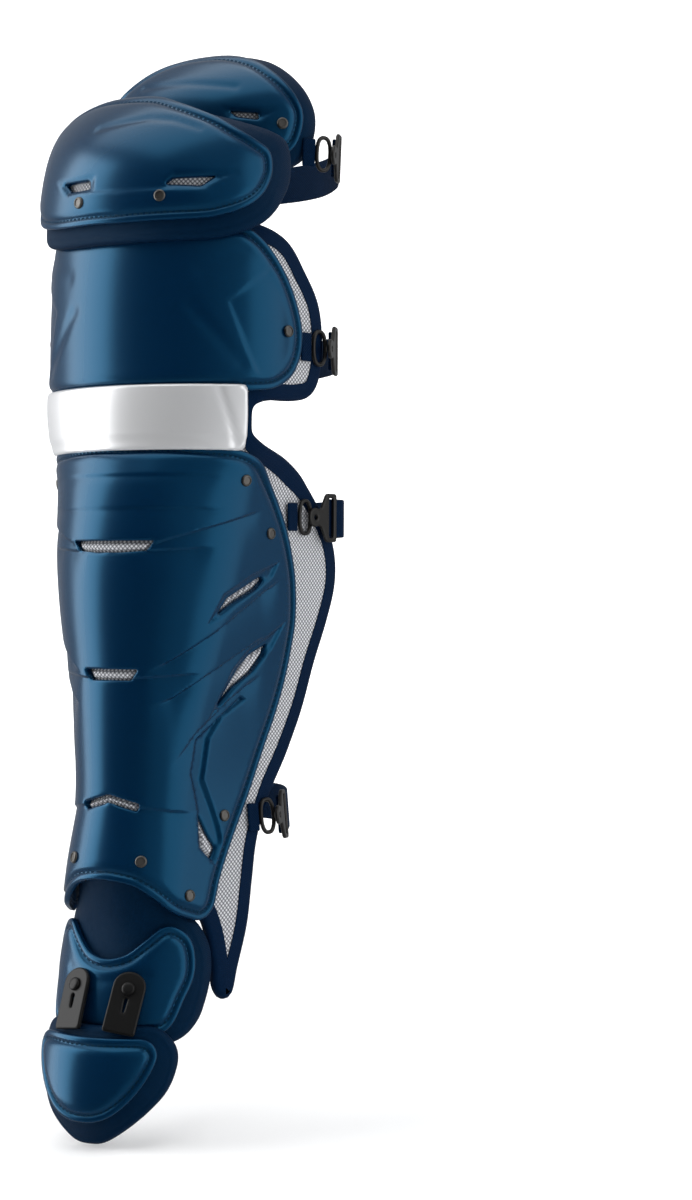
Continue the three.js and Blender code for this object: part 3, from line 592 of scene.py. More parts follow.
def new_material(name, colour, roughness, metallic=0.0, specular=0.5, shine=(1, 1, 1)):
    """A Principled material with constant inputs, and its node tree and shader. The shine is
    the colour of what it mirrors head on."""
    material = bpy.data.materials.new(name)
    material.use_nodes = True
    shader = material.node_tree.nodes["Principled BSDF"]
    shader.inputs["Base Color"].default_value = (*colour, 1)
    shader.inputs["Roughness"].default_value = roughness
    shader.inputs["Metallic"].default_value = metallic
    shader.inputs["Specular IOR Level"].default_value = specular
    shader.inputs["Specular Tint"].default_value = (*shine, 1)
    return material, material.node_tree, shader


def node(tree, kind, inputs=None, **settings):
    """A shader node with its settings and its inputs, which are values or other outputs."""
    made = tree.nodes.new(kind)
    for key, value in settings.items():
        setattr(made, key, value)
    for key, value in (inputs or {}).items():
        if isinstance(value, bpy.types.NodeSocket):
            tree.links.new(value, made.inputs[key])
        else:
            made.inputs[key].default_value = value
    return made


def maths(tree, operation, *values):
    """The output of a Math node."""
    return node(
        tree, "ShaderNodeMath", dict(enumerate(values)), operation=operation
    ).outputs[0]


def bump(tree, shader, height, strength, distance):
    """Gives a shader a bump from a height."""
    made = node(
        tree,
        "ShaderNodeBump",
        {"Height": height, "Strength": strength, "Distance": distance},
    )
    tree.links.new(made.outputs[0], shader.inputs["Normal"])


print("shine of navy pieces:", BLUE_SHINE)

# %% [markdown]
# The plates are sewn to their pads through a groove near the rim, and the thread shows as
# short dark dashes. Each stitch could be a small solid. The plates' own coordinates hold
# the place along the rim and the distance from it, in mm, so a test on those two numbers
# draws them all. The shine is tinted blue, because the navy then stays deep under pale
# light.

# %% Plate plastic, with its stitched groove
# The plates' own coordinates hold the place along the rim and the distance from it, in mm.
STITCH_FROM_RIM = 4.2
PLATE_NAVY = (0.0004, 0.014, 0.044)


def plate_material():
    """Glossy navy plastic. A stitch shows where |distance - 4.2| < 0.55 mm and the place
    along the rim, over 3.4 mm, has a fraction below 0.62."""
    material, tree, shader = new_material(
        "navy_plate", PLATE_NAVY, 0.25, specular=0.75, shine=BLUE_SHINE
    )
    own = node(tree, "ShaderNodeUVMap", uv_map="UVMap").outputs[0]
    parts = node(tree, "ShaderNodeSeparateXYZ", {0: own})
    along, away = parts.outputs[0], parts.outputs[1]
    off = maths(tree, "ABSOLUTE", maths(tree, "SUBTRACT", away, STITCH_FROM_RIM))
    in_row = maths(tree, "LESS_THAN", off, 0.55)
    beat = maths(tree, "FRACT", maths(tree, "DIVIDE", along, 3.4))
    stitch = maths(tree, "MULTIPLY", in_row, maths(tree, "LESS_THAN", beat, 0.62))
    colour = node(
        tree,
        "ShaderNodeMix",
        {0: stitch, 6: (*PLATE_NAVY, 1), 7: (0.0005, 0.004, 0.016, 1)},
        data_type="RGBA",
    )
    tree.links.new(colour.outputs[2], shader.inputs["Base Color"])
    rough = maths(tree, "MULTIPLY_ADD", stitch, 0.5, 0.27)
    tree.links.new(rough, shader.inputs["Roughness"])
    cloudy = node(
        tree,
        "ShaderNodeTexNoise",
        {
            "Vector": node(tree, "ShaderNodeTexCoord").outputs["Object"],
            "Scale": 18.0,
            "Detail": 1.0,
        },
    )
    height = maths(
        tree,
        "ADD",
        maths(tree, "MULTIPLY", stitch, 0.6),
        maths(tree, "MULTIPLY", cloudy.outputs[0], 0.25),
    )
    bump(tree, shader, height, 0.5, 0.0006)
    return material


navy_plate = plate_material()
print(len(navy_plate.node_tree.nodes), "nodes in the plates' material")

# %% [markdown]
# The pads, the tape, the mesh and the webbing are all woven, each with threads of its own
# pitch. Each could have a material of its own; one function draws a plain weave at any
# pitch, because they differ in colour and pitch alone.

# %% Cloths
def cloth_material(
    name, colour, gap_shade, pitch, roughness, depth, specular=0.2, shine=BLUE_SHINE
):
    """A plain weave in the piece's own coordinates, in mm. Its height is the larger of two
    diagonal waves, |sin(pi (u + v) / pitch)| and |sin(pi (u - v) / pitch)|, and its colour
    darkens towards the gaps between the threads, as painted shade in the hollows of the weave."""
    material, tree, shader = new_material(
        name, colour, roughness, specular=specular, shine=shine
    )
    own = node(tree, "ShaderNodeUVMap", uv_map="UVMap").outputs[0]
    parts = node(tree, "ShaderNodeSeparateXYZ", {0: own})
    waves = []
    for turn in ("ADD", "SUBTRACT"):
        phase = maths(tree, turn, parts.outputs[0], parts.outputs[1])
        phase = maths(tree, "MULTIPLY", phase, math.pi / pitch)
        waves.append(maths(tree, "ABSOLUTE", maths(tree, "SINE", phase)))
    height = maths(tree, "MULTIPLY", waves[0], waves[1])
    # Painted shade: the colour falls to the darker one in the gaps between the threads, where
    # the weave dips.
    shaded_weave = node(
        tree,
        "ShaderNodeMix",
        {0: height, 6: (*gap_shade, 1), 7: (*colour, 1)},
        data_type="RGBA",
    )
    tree.links.new(shaded_weave.outputs[2], shader.inputs["Base Color"])
    bump(tree, shader, height, 0.6, depth)
    return material


# The second colour of each cloth is the painted shade in the gaps of its weave.
navy_pad = cloth_material(
    "navy_pad", (0.0005, 0.011, 0.038), (0.0005, 0.007, 0.025), 0.9, 0.55, 0.0002, 0.18
)
navy_tape = cloth_material(
    "navy_tape", (0.001, 0.008, 0.036), (0.001, 0.005, 0.022), 0.9, 0.7, 0.0002
)
mesh_cloth = cloth_material(
    "mesh_cloth",
    (0.82, 0.83, 0.86),
    (0.1, 0.105, 0.12),
    2.6,
    0.8,
    0.0004,
    shine=(1, 1, 1),
)
navy_webbing = cloth_material(
    "navy_webbing", (0.001, 0.008, 0.036), (0.0005, 0.004, 0.018), 1.6, 0.75, 0.0003
)
print("last cloth made:", navy_webbing.name)

# %% [markdown]
# The hooks and rings are dark plated steel, the screw heads a little lighter, the toe
# straps black rubber and the band satin silver plastic. Scratches could be added; the
# photograph shows new goods, so plain constants were chosen.

# %% Metal, rubber and the band's silver
silver_band_material, _, _ = new_material(
    "silver_band", (0.74, 0.745, 0.755), 0.3, metallic=0.45
)
dark_metal, _, _ = new_material("dark_metal", (0.035, 0.034, 0.033), 0.38, metallic=0.85)
screw_metal, _, _ = new_material("screw_metal", (0.11, 0.105, 0.098), 0.4, metallic=0.9)
black_rubber, _, _ = new_material(
    "black_rubber", (0.003, 0.003, 0.003), 0.42, specular=0.25
)
print(len(bpy.data.materials), "materials")

# %% [markdown]
# ## Plates
# Each plate has a rolled rim: a lip about 3 mm wide, then the groove that it is sewn
# through, and then the swell of the plate itself. Bevel could round the rim but gives it no
# groove, so a short table holds its height by the distance from the edge, and the relief
# begins inside it.

# %% Plate builder
RIM_PROFILE = (
    (0, -1.1),
    (0.3, -0.5),
    (0.7, -0.12),
    (1.2, 0.05),
    (1.9, 0.12),
    (2.6, 0.05),
    (3.2, -0.25),
    (3.7, -0.7),
    (4.2, -0.95),
    (4.7, -0.85),
    (5.3, -0.35),
    (6.2, 0.35),
    (7.4, 0.8),
    (9.0, 1.05),
)


def beside(line, pitch=1.1):
    """Rows of points along a line, from just above it to 2.6 mm under it."""
    line = np.asarray(line, float)
    u = np.arange(line[0, 0], line[-1, 0], pitch)
    z = np.interp(u, line[:, 0], line[:, 1])
    return np.vstack([np.stack([u, z - drop], 1) for drop in (-0.5, 0.3, 1.0, 1.7, 2.6)])


def plate(name, form, rim, relief, vents=(), steps=(), pitch=1.6):
    """A plate: its top is out by the rim's profile plus its relief, with the edges of its
    vents rolled in by 0.9 exp(-distance / 0.5) mm, and its back is 3 mm in. Steps are rows
    of points where its relief is steep."""
    net = flat_net(rim, vents, pitch, RIM_ROWS, extra=steps)
    u, z = net["points"].T
    profile = np.interp(net["edge"], *zip(*RIM_PROFILE))
    swell = smooth(net["edge"], 5, 12)
    rolled = 0.9 * np.exp(-net["hole_edge"] / 0.5)
    height = profile + swell * relief(net["points"]) - rolled
    height = np.clip(height, -SHELL_WALL + 0.8, None)
    top = on_form(form, u, z, height)
    bottom = on_form(form, u, z, np.full(len(u), -SHELL_WALL))
    uv = np.stack([net["place"], net["edge"]], 1)
    piece = solid_over(name, net, top, bottom, uv)
    print(name, len(piece.data.polygons), "faces")
    return dress(piece, name, navy_plate)


print("a rolled rim is", RIM_PROFILE[-1][0], "mm wide")

# %% [markdown]
# The relief of all plates is made of three forms: a soft groove, a ledge where one lame
# stands over the next, and a sunk panel. They could be displacement maps; as formulas of
# distance they stay crisp and move when a line or an outline is changed.

# %% Grooves, ledges and sunk panels
def groove(points, line, depth, width):
    """A soft groove along a line: -depth exp(-(distance / width)^2)."""
    return -depth * np.exp(-((from_line(points, line)[0] / width) ** 2))


def ledge(points, line, height, reach):
    """A step that is full height just below a line and fades over a reach under it, sunk
    where its height is below zero. The line runs by height at each place round the leg, and
    the step runs out over its last 16 mm."""
    line = np.asarray(line, float)
    u, z = points.T
    below = np.interp(u, line[:, 0], line[:, 1]) - z
    ends = smooth(u, line[0, 0], line[0, 0] + 16) * (
        1 - smooth(u, line[-1, 0] - 16, line[-1, 0])
    )
    return height * ends * smooth(below, 0, 1.9) * np.exp(-np.maximum(below, 0) / reach)


def recess(points, corners, depth, edge):
    """A sunk panel with bevelled sides: -depth smooth(how deep inside / edge)."""
    return -depth * smooth(depth_in(points, corners), 0, edge)


def folded(points):
    """Points of both halves of a plate brought to its right half."""
    return np.stack([np.abs(points[:, 0]), points[:, 1]], 1)


print("folded over:", folded(np.array([[-40.0, 300.0]])))

# %% [markdown]
# The long plate is moulded as stacked lames down the front with a vent under each, and
# panels that sweep up and back at its sides. The lames could be separate shells. On the
# real guard they are one moulding, so they are ledges on one plate, and rows of points
# along each ledge keep it crisp.

# %% Shin plate
def shin_share(share):
    """A share of the shin plate's length as a share of the leg form's height."""
    return (SHIN_LEVEL + share * SHIN_LENGTH - LEG["level"]) / LEG["height"]


SHIN_OUTLINE = [
    (0.00, 0.092), (0.06, 0.090), (0.15, 0.080), (0.25, 0.052), (0.33, 0.026),
    (0.42, 0.008), (0.50, 0.000), (0.56, 0.022), (0.59, 0.085), (0.65, 0.170),
    (0.72, 0.250), (0.80, 0.335), (0.88, 0.415), (0.94, 0.490), (0.98, 0.565),
    (1.00, 0.630), (0.985, 0.710), (0.94, 0.780), (0.87, 0.850), (0.77, 0.915),
    (0.66, 0.962), (0.53, 0.986), (0.36, 0.995), (0.18, 1.000), (0.00, 1.000),
]
SHIN_VENTS = [
    [(-22, 342), (-7, 341), (7, 341), (22, 342), (26, 347.5), (-26, 347.5)],
    [(-13, 271.5), (13, 271.5), (17, 277.5), (-17, 277.5)],
    [(-17, 200.5), (0, 205), (17, 200.5), (18, 204.5), (0, 209.5), (-18, 204.5)],
]
SHIN_SIDE_VENTS = [
    [(63, 307), (70, 316), (96, 328), (98, 326), (92, 321), (74, 313)],
    [(66, 256), (83, 277), (90, 283), (104, 290), (101, 283), (92, 274), (78, 266)],
    [(55, 197), (63, 186), (70, 178), (67, 172), (60, 178)],
]
SHIN_RECESSES = [
    ([(54, 300), (66, 319), (88, 330), (110, 337), (104, 327), (72, 309)], 1.3, 2.4),
    ([(57, 247), (77, 277), (90, 288), (119, 304), (107, 287), (76, 262)], 1.3, 2.4),
    (
        [
            (50, 239), (46, 220), (53, 197), (56, 179), (69, 168), (76, 177),
            (70, 191), (57, 216), (61, 238), (70, 249), (89, 259), (84, 262),
        ],
        2.1,
        2.6,
    ),
]
SHIN_LEDGES = [
    ([(-62, 345), (0, 342), (62, 345)], -1.6, 14),
    ([(-54, 276), (0, 273), (54, 276)], -1.6, 14),
    ([(-52, 199), (0, 206), (52, 199)], -1.6, 14),
    ([(-66, 366), (66, 366)], -0.9, 9),
    ([(-62, 384), (62, 384)], -0.7, 7),
]
SHIN_FOLDS = [
    ([(22, 258), (36, 263), (57, 275), (104, 297)], -2.1, 15),
    ([(20, 276), (34, 283), (57, 296), (112, 328)], -2.0, 14),
    ([(14, 343), (36, 350), (92, 366)], -1.7, 10),
    ([(34, 225), (50, 243), (72, 259), (100, 275)], -1.5, 10),
]


def shin_relief(points):
    """Steps below the vents, folds and sunk panels, the same on both sides, in mm."""
    both = folded(points)
    height = 0
    for line, depth, reach in SHIN_LEDGES:
        height += ledge(points, line, depth, reach)
    for corners, depth, edge in SHIN_RECESSES:
        height += recess(both, corners, depth, edge)
    for line, depth, reach in SHIN_FOLDS:
        height += ledge(both, line, depth, reach)
    return height


shin_rim = rim_of(LEG, SHIN_HALF, [(a, shin_share(b)) for a, b in SHIN_OUTLINE])
side_vents = [filleted(c) for c in SHIN_SIDE_VENTS]
mirrored_vents = [filleted([(-a, b) for a, b in c]) for c in SHIN_SIDE_VENTS]
shin_vents = [*(filleted(c) for c in SHIN_VENTS), *side_vents, *mirrored_vents]
right_steps = [beside(line) for line, _, _ in SHIN_FOLDS]
for corners, _, _ in SHIN_RECESSES:
    edge_line = filleted(corners, 1.5, 1.1)
    right_steps += [moved_out(edge_line, -row) for row in (-0.5, 0.3, 1.0, 1.8, 2.8)]
shin_steps = [beside(line) for line, _, _ in SHIN_LEDGES]
shin_steps += [points * side for points in right_steps for side in ([1, 1], [-1, 1])]
shin_plate = plate("shin_plate", LEG, shin_rim, shin_relief, shin_vents, shin_steps)

# %% [markdown]
# The plate under the knee cap is broad and plain; a chevron is pressed into each side.
# Cutting it with a boolean would leave an edge all round it. A sunk panel that runs on past
# the plate's own edge shows the chevron's point alone, as the real one does.

# %% Knee plate
def knee_plate_share(share):
    """A share of the knee plate's height as a share of the leg form's height."""
    return (
        KNEE_PLATE_LEVEL + share * KNEE_PLATE_HEIGHT - LEG["level"]
    ) / LEG["height"]


KNEE_PLATE_OUTLINE = [
    (0.00, 0.000), (0.25, 0.000), (0.50, 0.003), (0.70, 0.012), (0.82, 0.035),
    (0.93, 0.110), (0.99, 0.230), (1.00, 0.380), (0.95, 0.550), (0.86, 0.710),
    (0.71, 0.880), (0.55, 0.970), (0.28, 1.000), (0.00, 1.000),
]
CHEVRON = [(86, 502), (57, 479), (68, 452)]


def knee_plate_relief(points):
    """A chevron that is sunk from its point to the side, and two folds before it."""
    both = folded(points)
    panel = [*CHEVRON, (82, 425), (150, 425), (150, 535), (120, 525)]
    height = recess(both, panel, 0.8, 3)
    height += groove(both, [(38, 476), (66, 445)], 0.6, 4)
    return height + groove(both, [(44, 496), (78, 512)], 0.5, 5)


knee_plate_rim = rim_of(
    LEG, KNEE_PLATE_HALF, [(a, knee_plate_share(b)) for a, b in KNEE_PLATE_OUTLINE]
)
knee_plate = plate("knee_plate", LEG, knee_plate_rim, knee_plate_relief)

# %% [markdown]
# The knee cap is a dome whose crown stands higher on the -X side, with a fold over it and
# two vents. A sphere could be squashed into shape; a flat outline bent onto the knee's form
# was chosen, because the cap then has the same rim and groove as the other plates.

# %% Knee cap
KNEE_CAP_RIGHT = [
    (0.00, 0.000), (0.29, 0.006), (0.56, 0.018), (0.70, 0.050), (0.82, 0.100),
    (0.91, 0.165), (0.97, 0.250), (1.00, 0.370), (0.96, 0.500), (0.84, 0.580),
    (0.70, 0.655), (0.56, 0.735), (0.42, 0.800), (0.26, 0.870), (0.06, 0.950),
]
KNEE_CAP_LEFT = [
    (0.17, 0.005), (0.41, 0.012), (0.62, 0.030), (0.82, 0.080), (0.95, 0.180),
    (1.00, 0.320), (1.01, 0.470), (0.99, 0.620), (0.94, 0.760), (0.82, 0.880),
    (0.64, 0.960), (0.42, 1.000), (0.18, 0.985),
]
KNEE_CAP_VENTS = [
    [(28, 541), (32, 544.5), (56, 545.5), (48, 540)],
    [(-41, 547), (-20, 546.5), (-19, 541.5), (-35, 541.5)],
]


def knee_cap_relief(points):
    """A fold over the crown, a step across the foot and scoops that run out of the vents."""
    height = groove(points, [(-22, 577), (10, 580), (26, 578), (42, 573)], 0.8, 2)
    height += ledge(points, [(-30, 541), (0, 538.5), (60, 538.5)], 0.9, 9)
    height += recess(points, [(24, 537.5), (32, 548.5), (72, 549), (50, 537)], 1.2, 4)
    return height + recess(
        points, [(-50, 550), (-14, 549.5), (-14, 539), (-38, 538)], 1.2, 4
    )


knee_cap_rim = rim_of(KNEE, KNEE_CAP_HALF, KNEE_CAP_RIGHT, KNEE_CAP_LEFT)
knee_cap = plate(
    "knee_cap", KNEE, knee_cap_rim, knee_cap_relief, [filleted(c) for c in KNEE_CAP_VENTS]
)

# %% [markdown]
# The thigh cap is a smaller dome, the same on both sides. It is moulded and sewn as the
# knee cap is, so it is built in the same way, with a vent on each side.

# %% Thigh cap
THIGH_OUTLINE = [
    (0.00, 0.000), (0.35, 0.005), (0.62, 0.030), (0.80, 0.090), (0.91, 0.170),
    (0.97, 0.300), (0.98, 0.420), (0.94, 0.520), (0.84, 0.640), (0.68, 0.770),
    (0.46, 0.900), (0.22, 0.980), (0.00, 1.000),
]
THIGH_VENT = [(31, 594), (48, 593), (48, 589), (36, 590.5)]


def thigh_relief(points):
    """A fold over the crown and a scoop that runs out of each vent."""
    both = folded(points)
    height = groove(points, [(-31, 614), (3, 612), (33, 608)], 0.7, 2)
    scoop = [(26, 596.5), (50, 595.5), (64, 597), (50, 586.5), (30, 588.5)]
    return height + recess(both, scoop, 1.2, 4)


thigh_rim = rim_of(THIGH, THIGH_HALF, THIGH_OUTLINE)
thigh_cap = plate(
    "thigh_cap",
    THIGH,
    thigh_rim,
    thigh_relief,
    [filleted(THIGH_VENT), filleted([(-a, b) for a, b in THIGH_VENT])],
)

# %% [markdown]
# The ankle plate has a valley in its top edge, where the foot flexes, and the toe plate
# turns in at its foot. A lattice could bend them; each has a form of its own instead, so
# that its outline stays a flat drawing.

# %% Ankle and toe plates
ANKLE_OUTLINE = [
    (0.00, -0.080), (0.40, -0.080), (0.77, 0.000), (0.92, 0.290), (1.00, 0.500),
    (0.98, 0.720), (0.90, 0.890), (0.74, 0.995), (0.60, 0.990), (0.44, 0.880),
    (0.25, 0.740), (0.10, 0.690), (0.00, 0.680),
]
TOE_OUTLINE = [
    (0.00, 0.000), (0.20, 0.015), (0.42, 0.090), (0.65, 0.250), (0.85, 0.460),
    (0.97, 0.660), (1.00, 0.800), (0.93, 0.920), (0.80, 0.985), (0.60, 1.000),
    (0.30, 1.000), (0.00, 1.000),
]


def ankle_relief(points):
    """A fold below the valley of the plate's top edge."""
    return groove(points, [(-24, 113), (0, 109), (24, 113)], 0.6, 3)


def toe_relief(points):
    """The foot of the plate turns in below a curved fold."""
    u, z = points.T
    fold = 49 + (u / 40) ** 2 * 14
    return -1.6 * smooth(fold - z, 0, 9)


ankle_rim = rim_of(ANKLE, ANKLE_HALF, ANKLE_OUTLINE)
ankle_plate = plate("ankle_plate", ANKLE, ankle_rim, ankle_relief)
toe_rim = rim_of(TOE, TOE_HALF, TOE_OUTLINE)
toe_plate = plate("toe_plate", TOE, toe_rim, toe_relief)

# %% [markdown]
# ## Pads
# The pads behind the caps are foam sewn into cloth. They show as a soft margin round the
# plates. A cloth simulation could fill them out, but only their rims are seen, so the rims
# are rounded off over about half of their thickness, with a seam.

# %% Pad builder
def pad(name, form, rim, depth_at, seam=4.5, vents=()):
    """A pad whose face lies behind its plate and whose back lies straight behind the face.
    Over the last r mm its rim is rounded by r (1 - sqrt(1 - (1 - d / r)^2)), at both faces.
    Its face is mesh cloth within 5 mm of each vent of the plate."""
    net = flat_net(rim, (), 2.4, (0, 0.3, 0.8, 1.5, 2.4, 3.4, 4.5, 5.6, 7.2))
    u, z = net["points"].T
    depth = depth_at((z - form["level"]) / form["height"])
    face = on_form(form, u, z, np.full(len(u), -(SHELL_WALL + SHELL_SEAT)))
    radius = 0.46 * depth
    part = np.clip(net["edge"] / radius, 0, 1)
    round_off = radius * (1 - np.sqrt(1 - (1 - part) ** 2))
    dent = 0.35 * np.exp(-(((net["edge"] - seam) / 0.7) ** 2))
    top, bottom = face.copy(), face.copy()
    top[:, 1] += round_off + dent
    bottom[:, 1] += depth - round_off
    piece = solid_over(name, net, top, bottom, net["points"], sharp=60)
    dress(piece, name, navy_pad)
    piece.data.materials.append(mesh_cloth)
    middle = net["points"][net["faces"]].mean(1)
    patch = np.zeros(len(piece.data.polygons), np.int32)
    for vent in vents:
        patch[: len(middle)] |= (depth_in(middle, vent) > -5).astype(np.int32)
    piece.data.polygons.foreach_set("material_index", patch)
    print(name, len(piece.data.polygons), "faces")
    return piece


# %% [markdown]
# The knee pad shows most below its cap and least over the crown, and the thigh pad shows
# evenly. Their outlines could be drawn one by one; moving the cap's own rim outwards by a
# margin keeps pad and cap together. The ankle and toe pads are wider than their plates, so
# they have tables of their own.

# %% Pads of the caps, ankle and toe
def knee_pad_depth(share):
    """6 mm where the pad laps over the knee plate, 12 mm above, and more at the crown."""
    return 6 + 6 * smooth(share, 0.05, 0.4) + np.maximum(share - 0.6, 0) * 24


knee_share = (knee_cap_rim[:, 1] - KNEE["level"]) / KNEE["height"]
knee_margin = 11 - 9 * smooth(knee_share, 0.5, 0.85)
knee_pad = pad(
    "knee_pad",
    KNEE,
    moved_out(knee_cap_rim, knee_margin),
    knee_pad_depth,
    vents=KNEE_CAP_VENTS,
)
thigh_pad = pad(
    "thigh_pad",
    THIGH,
    moved_out(thigh_rim, 5.5),
    lambda share: 12 + 0 * share,
    vents=[THIGH_VENT, [(-a, b) for a, b in THIGH_VENT]],
)
ANKLE_PAD = [
    (0.00, -0.160), (0.50, -0.180), (0.90, -0.120), (1.10, 0.030), (1.18, 0.240),
    (1.21, 0.480), (1.17, 0.700), (1.08, 0.890), (0.96, 1.040), (0.80, 1.160),
    (0.62, 1.340), (0.38, 1.520), (0.18, 1.580), (0.00, 1.590),
]
TOE_PAD = [
    (0.00, -0.310), (0.25, -0.280), (0.58, -0.120), (0.90, 0.090), (1.18, 0.330),
    (1.30, 0.600), (1.28, 0.810), (1.12, 0.990), (0.90, 1.110), (0.60, 1.130),
    (0.30, 1.130), (0.00, 1.130),
]
ankle_pad = pad(
    "ankle_pad", ANKLE, rim_of(ANKLE, ANKLE_HALF, ANKLE_PAD), lambda share: 7 + 0 * share
)
toe_pad = pad(
    "toe_pad", TOE, rim_of(TOE, TOE_HALF, TOE_PAD), lambda share: 5 + 0 * share, 3.4
)

# %% [markdown]
# ## Liner
# One long padded liner of mesh cloth over foam lies behind both long plates. Beside the band
# it is notched, and its wings wrap round the leg. Its outline could be one list of points;
# rows with a centre, a reach and the height of their ends were chosen, because the CAD solid
# is built from the same rows.

# %% Liner outline
def shin_row(centre, across, up):
    """A row of the liner by shares of the shin: its centre, its reach and its ends' height."""
    return shin_share(centre), across * WING_HALF, shin_share(up)


def knee_row(centre, across, up):
    """The same by shares of the knee plate."""
    return knee_plate_share(centre), across * KNEE_WING_HALF, knee_plate_share(up)


LINER_ROWS = [
    shin_row(0.160, 0.500, -0.145), shin_row(0.185, 0.540, -0.165),
    shin_row(0.215, 0.565, -0.107), shin_row(0.270, 0.600, -0.023),
    shin_row(0.330, 0.613, 0.070), shin_row(0.390, 0.626, 0.165),
    shin_row(0.450, 0.675, 0.253), shin_row(0.506, 0.760, 0.337),
    shin_row(0.567, 0.840, 0.430), shin_row(0.636, 0.902, 0.529),
    shin_row(0.700, 0.963, 0.617), shin_row(0.750, 1.000, 0.697),
    shin_row(0.805, 0.988, 0.766), shin_row(0.850, 0.932, 0.831),
    shin_row(0.900, 0.822, 0.904), shin_row(0.942, 0.681, 0.950),
    shin_row(0.977, 0.552, 0.981), knee_row(-0.250, 0.600, -0.260),
    knee_row(-0.150, 0.583, -0.170), knee_row(-0.040, 0.590, -0.060),
    knee_row(0.065, 0.677, -0.010), knee_row(0.180, 0.850, 0.000),
    knee_row(0.290, 0.960, 0.050), knee_row(0.425, 1.000, 0.250),
    knee_row(0.570, 0.976, 0.520), knee_row(0.735, 0.874, 0.720),
    knee_row(0.880, 0.748, 0.885), knee_row(0.985, 0.520, 0.970),
]


def liner_edge(pitch=2.0):
    """The liner's outline. The lowest row is the arch over the ankle, whose height at a turn
    t from -1 to 1 is centre + (up - centre) (1 - cos(90 t)), and the top row is centre +
    (up - centre) sin^2(90 t); the sides are a smooth curve through the ends of the rows."""
    turn = np.linspace(-1, 1, 41)
    across = np.sin(turn * math.pi / 2)
    foot, head = LINER_ROWS[0], LINER_ROWS[-1]
    bottom = foot[0] + (foot[2] - foot[0]) * (1 - np.cos(turn * math.pi / 2))
    top = head[0] + (head[2] - head[0]) * across**2
    table = np.array([(j, row[1], row[2]) for j, row in enumerate(LINER_ROWS)])
    j = np.linspace(0, len(table) - 1, 300)
    side = np.stack([column_at(table, j, 1), column_at(table, j, 2)], 1)
    loop = np.vstack(
        [
            np.stack([foot[1] * across, bottom], 1)[:-1],
            side[:-1],
            np.stack([head[1] * across, top], 1)[::-1][:-1],
            (side * [-1, 1])[::-1][:-1],
        ]
    )
    loop = loop * [1, LEG["height"]] + [0, LEG["level"]]
    length = np.linalg.norm(np.roll(loop, -1, 0) - loop, axis=1).sum()
    loop = evenly(loop, int(length / pitch))
    for _ in range(3):
        loop = (np.roll(loop, 1, 0) + 2 * loop + np.roll(loop, -1, 0)) / 4
    return loop


liner_rim = liner_edge()
print("liner edge", len(liner_rim), "points")

# %% [markdown]
# The foam is thicker in the middle of the liner than at its edge, and the cloth swells a
# little into the plate's vents. A simulation could press it through them; the vents' own
# outlines say where it swells, so it is worked out from them and stays behind the plate.

# %% Liner
def liner_dip(height):
    """How much deeper the liner lies at its waist beside the band, in mm."""
    return 1.2 * (1 - smooth(np.abs(height - BAND_LEVEL), 15, 40))


def build_liner():
    """The liner between its face and its back. It is 5 mm thick at its edge and 9 mm inside,
    its edge is rounded off over 2 mm under the tape, and it swells into the vents."""
    rows = (-2.2, -1.6, -1.0, -0.4, 0.4, 1.4, 2.6)
    extra = [moved_out(vent, row) for vent in shin_vents for row in rows]
    rim_rows = (0, 0.4, 1.0, 2.0, 3.2, 5.0, 7.0)
    net = flat_net(liner_rim, (), 2.6, rim_rows, extra=extra)
    u, z = net["points"].T
    inner = smooth(net["edge"], 8, 60)
    depth = WING_THICKNESS + (LINER_THICKNESS - WING_THICKNESS) * inner
    soft = 1.2 * (1 - np.clip(net["edge"] / 2, 0, 1)) ** 2
    level = LINER_FACE - liner_dip(z)
    face = level
    for vent in shin_vents:
        inwards = depth_in(net["points"], vent)
        face = face + 0.9 * smooth(inwards, -3, 1) + 2.0 * smooth(inwards, 0.4, 2.2)
    top = on_form(LEG, u, z, face - soft)
    bottom = on_form(LEG, u, z, level - depth + soft)
    piece = solid_over("liner", net, top, bottom, net["points"], sharp=60)
    dress(piece, "liner", mesh_cloth)
    return piece


liner = build_liner()
print("liner", len(liner.data.polygons), "faces")

# %% [markdown]
# A woven tape is folded over the liner's raw edge and sewn down. A curve with a bevel could
# carry it but would turn freely. Here a U-shaped section is carried along the edge by its
# distances from the edge and out of the form, so that it always sits on the cloth.

# %% Tape round the liner's edge
def swept(name, rings, uv, sharp=50):
    """A closed tube from rings of points: rings[i, k] is point k of the section at place i,
    and both ways round are closed."""
    count, size = rings.shape[:2]
    i, k = np.meshgrid(np.arange(count), np.arange(size), indexing="ij")
    after, beside = (i + 1) % count, (k + 1) % size
    quads = np.stack(
        [i * size + k, after * size + k, after * size + beside, i * size + beside], -1
    ).reshape(-1, 4)
    return mesh_piece(
        name, row_frame(rings.reshape(-1, 3)), [quads], uv.reshape(-1, 2), sharp
    )


def build_binding():
    """The tape's section is a U round the liner's edge, 6.5 mm onto its face and back and
    3 mm past its edge, swept along the edge."""
    face, back = LINER_FACE, LINER_FACE - WING_THICKNESS
    section = [
        (-6.5, face + 0.15), (-6.3, face + 0.6), (0.5, face + 0.7), (2.3, face + 0.1),
        (3.2, face - 1.4), (3.2, back + 1.4), (2.3, back - 0.1), (0.5, back - 0.7),
        (-6.3, back - 0.6), (-6.5, back - 0.15), (0.4, back - 0.2), (0.4, face + 0.2),
    ]
    rings = []
    for margin, out in section:
        p = moved_out(liner_rim, margin)
        rings.append(on_form(LEG, p[:, 0], p[:, 1], out - liner_dip(p[:, 1])))
    rings = np.stack(rings, 1)
    along = np.arange(len(liner_rim))[:, None] * 2.0
    uv = np.stack(np.broadcast_arrays(along, np.arange(len(section)) * 2.0), -1)
    piece = swept("liner_binding", rings, uv)
    return dress(piece, "liner_binding", navy_tape)


liner_binding = build_binding()
print("liner_binding", len(liner_binding.data.polygons), "faces")
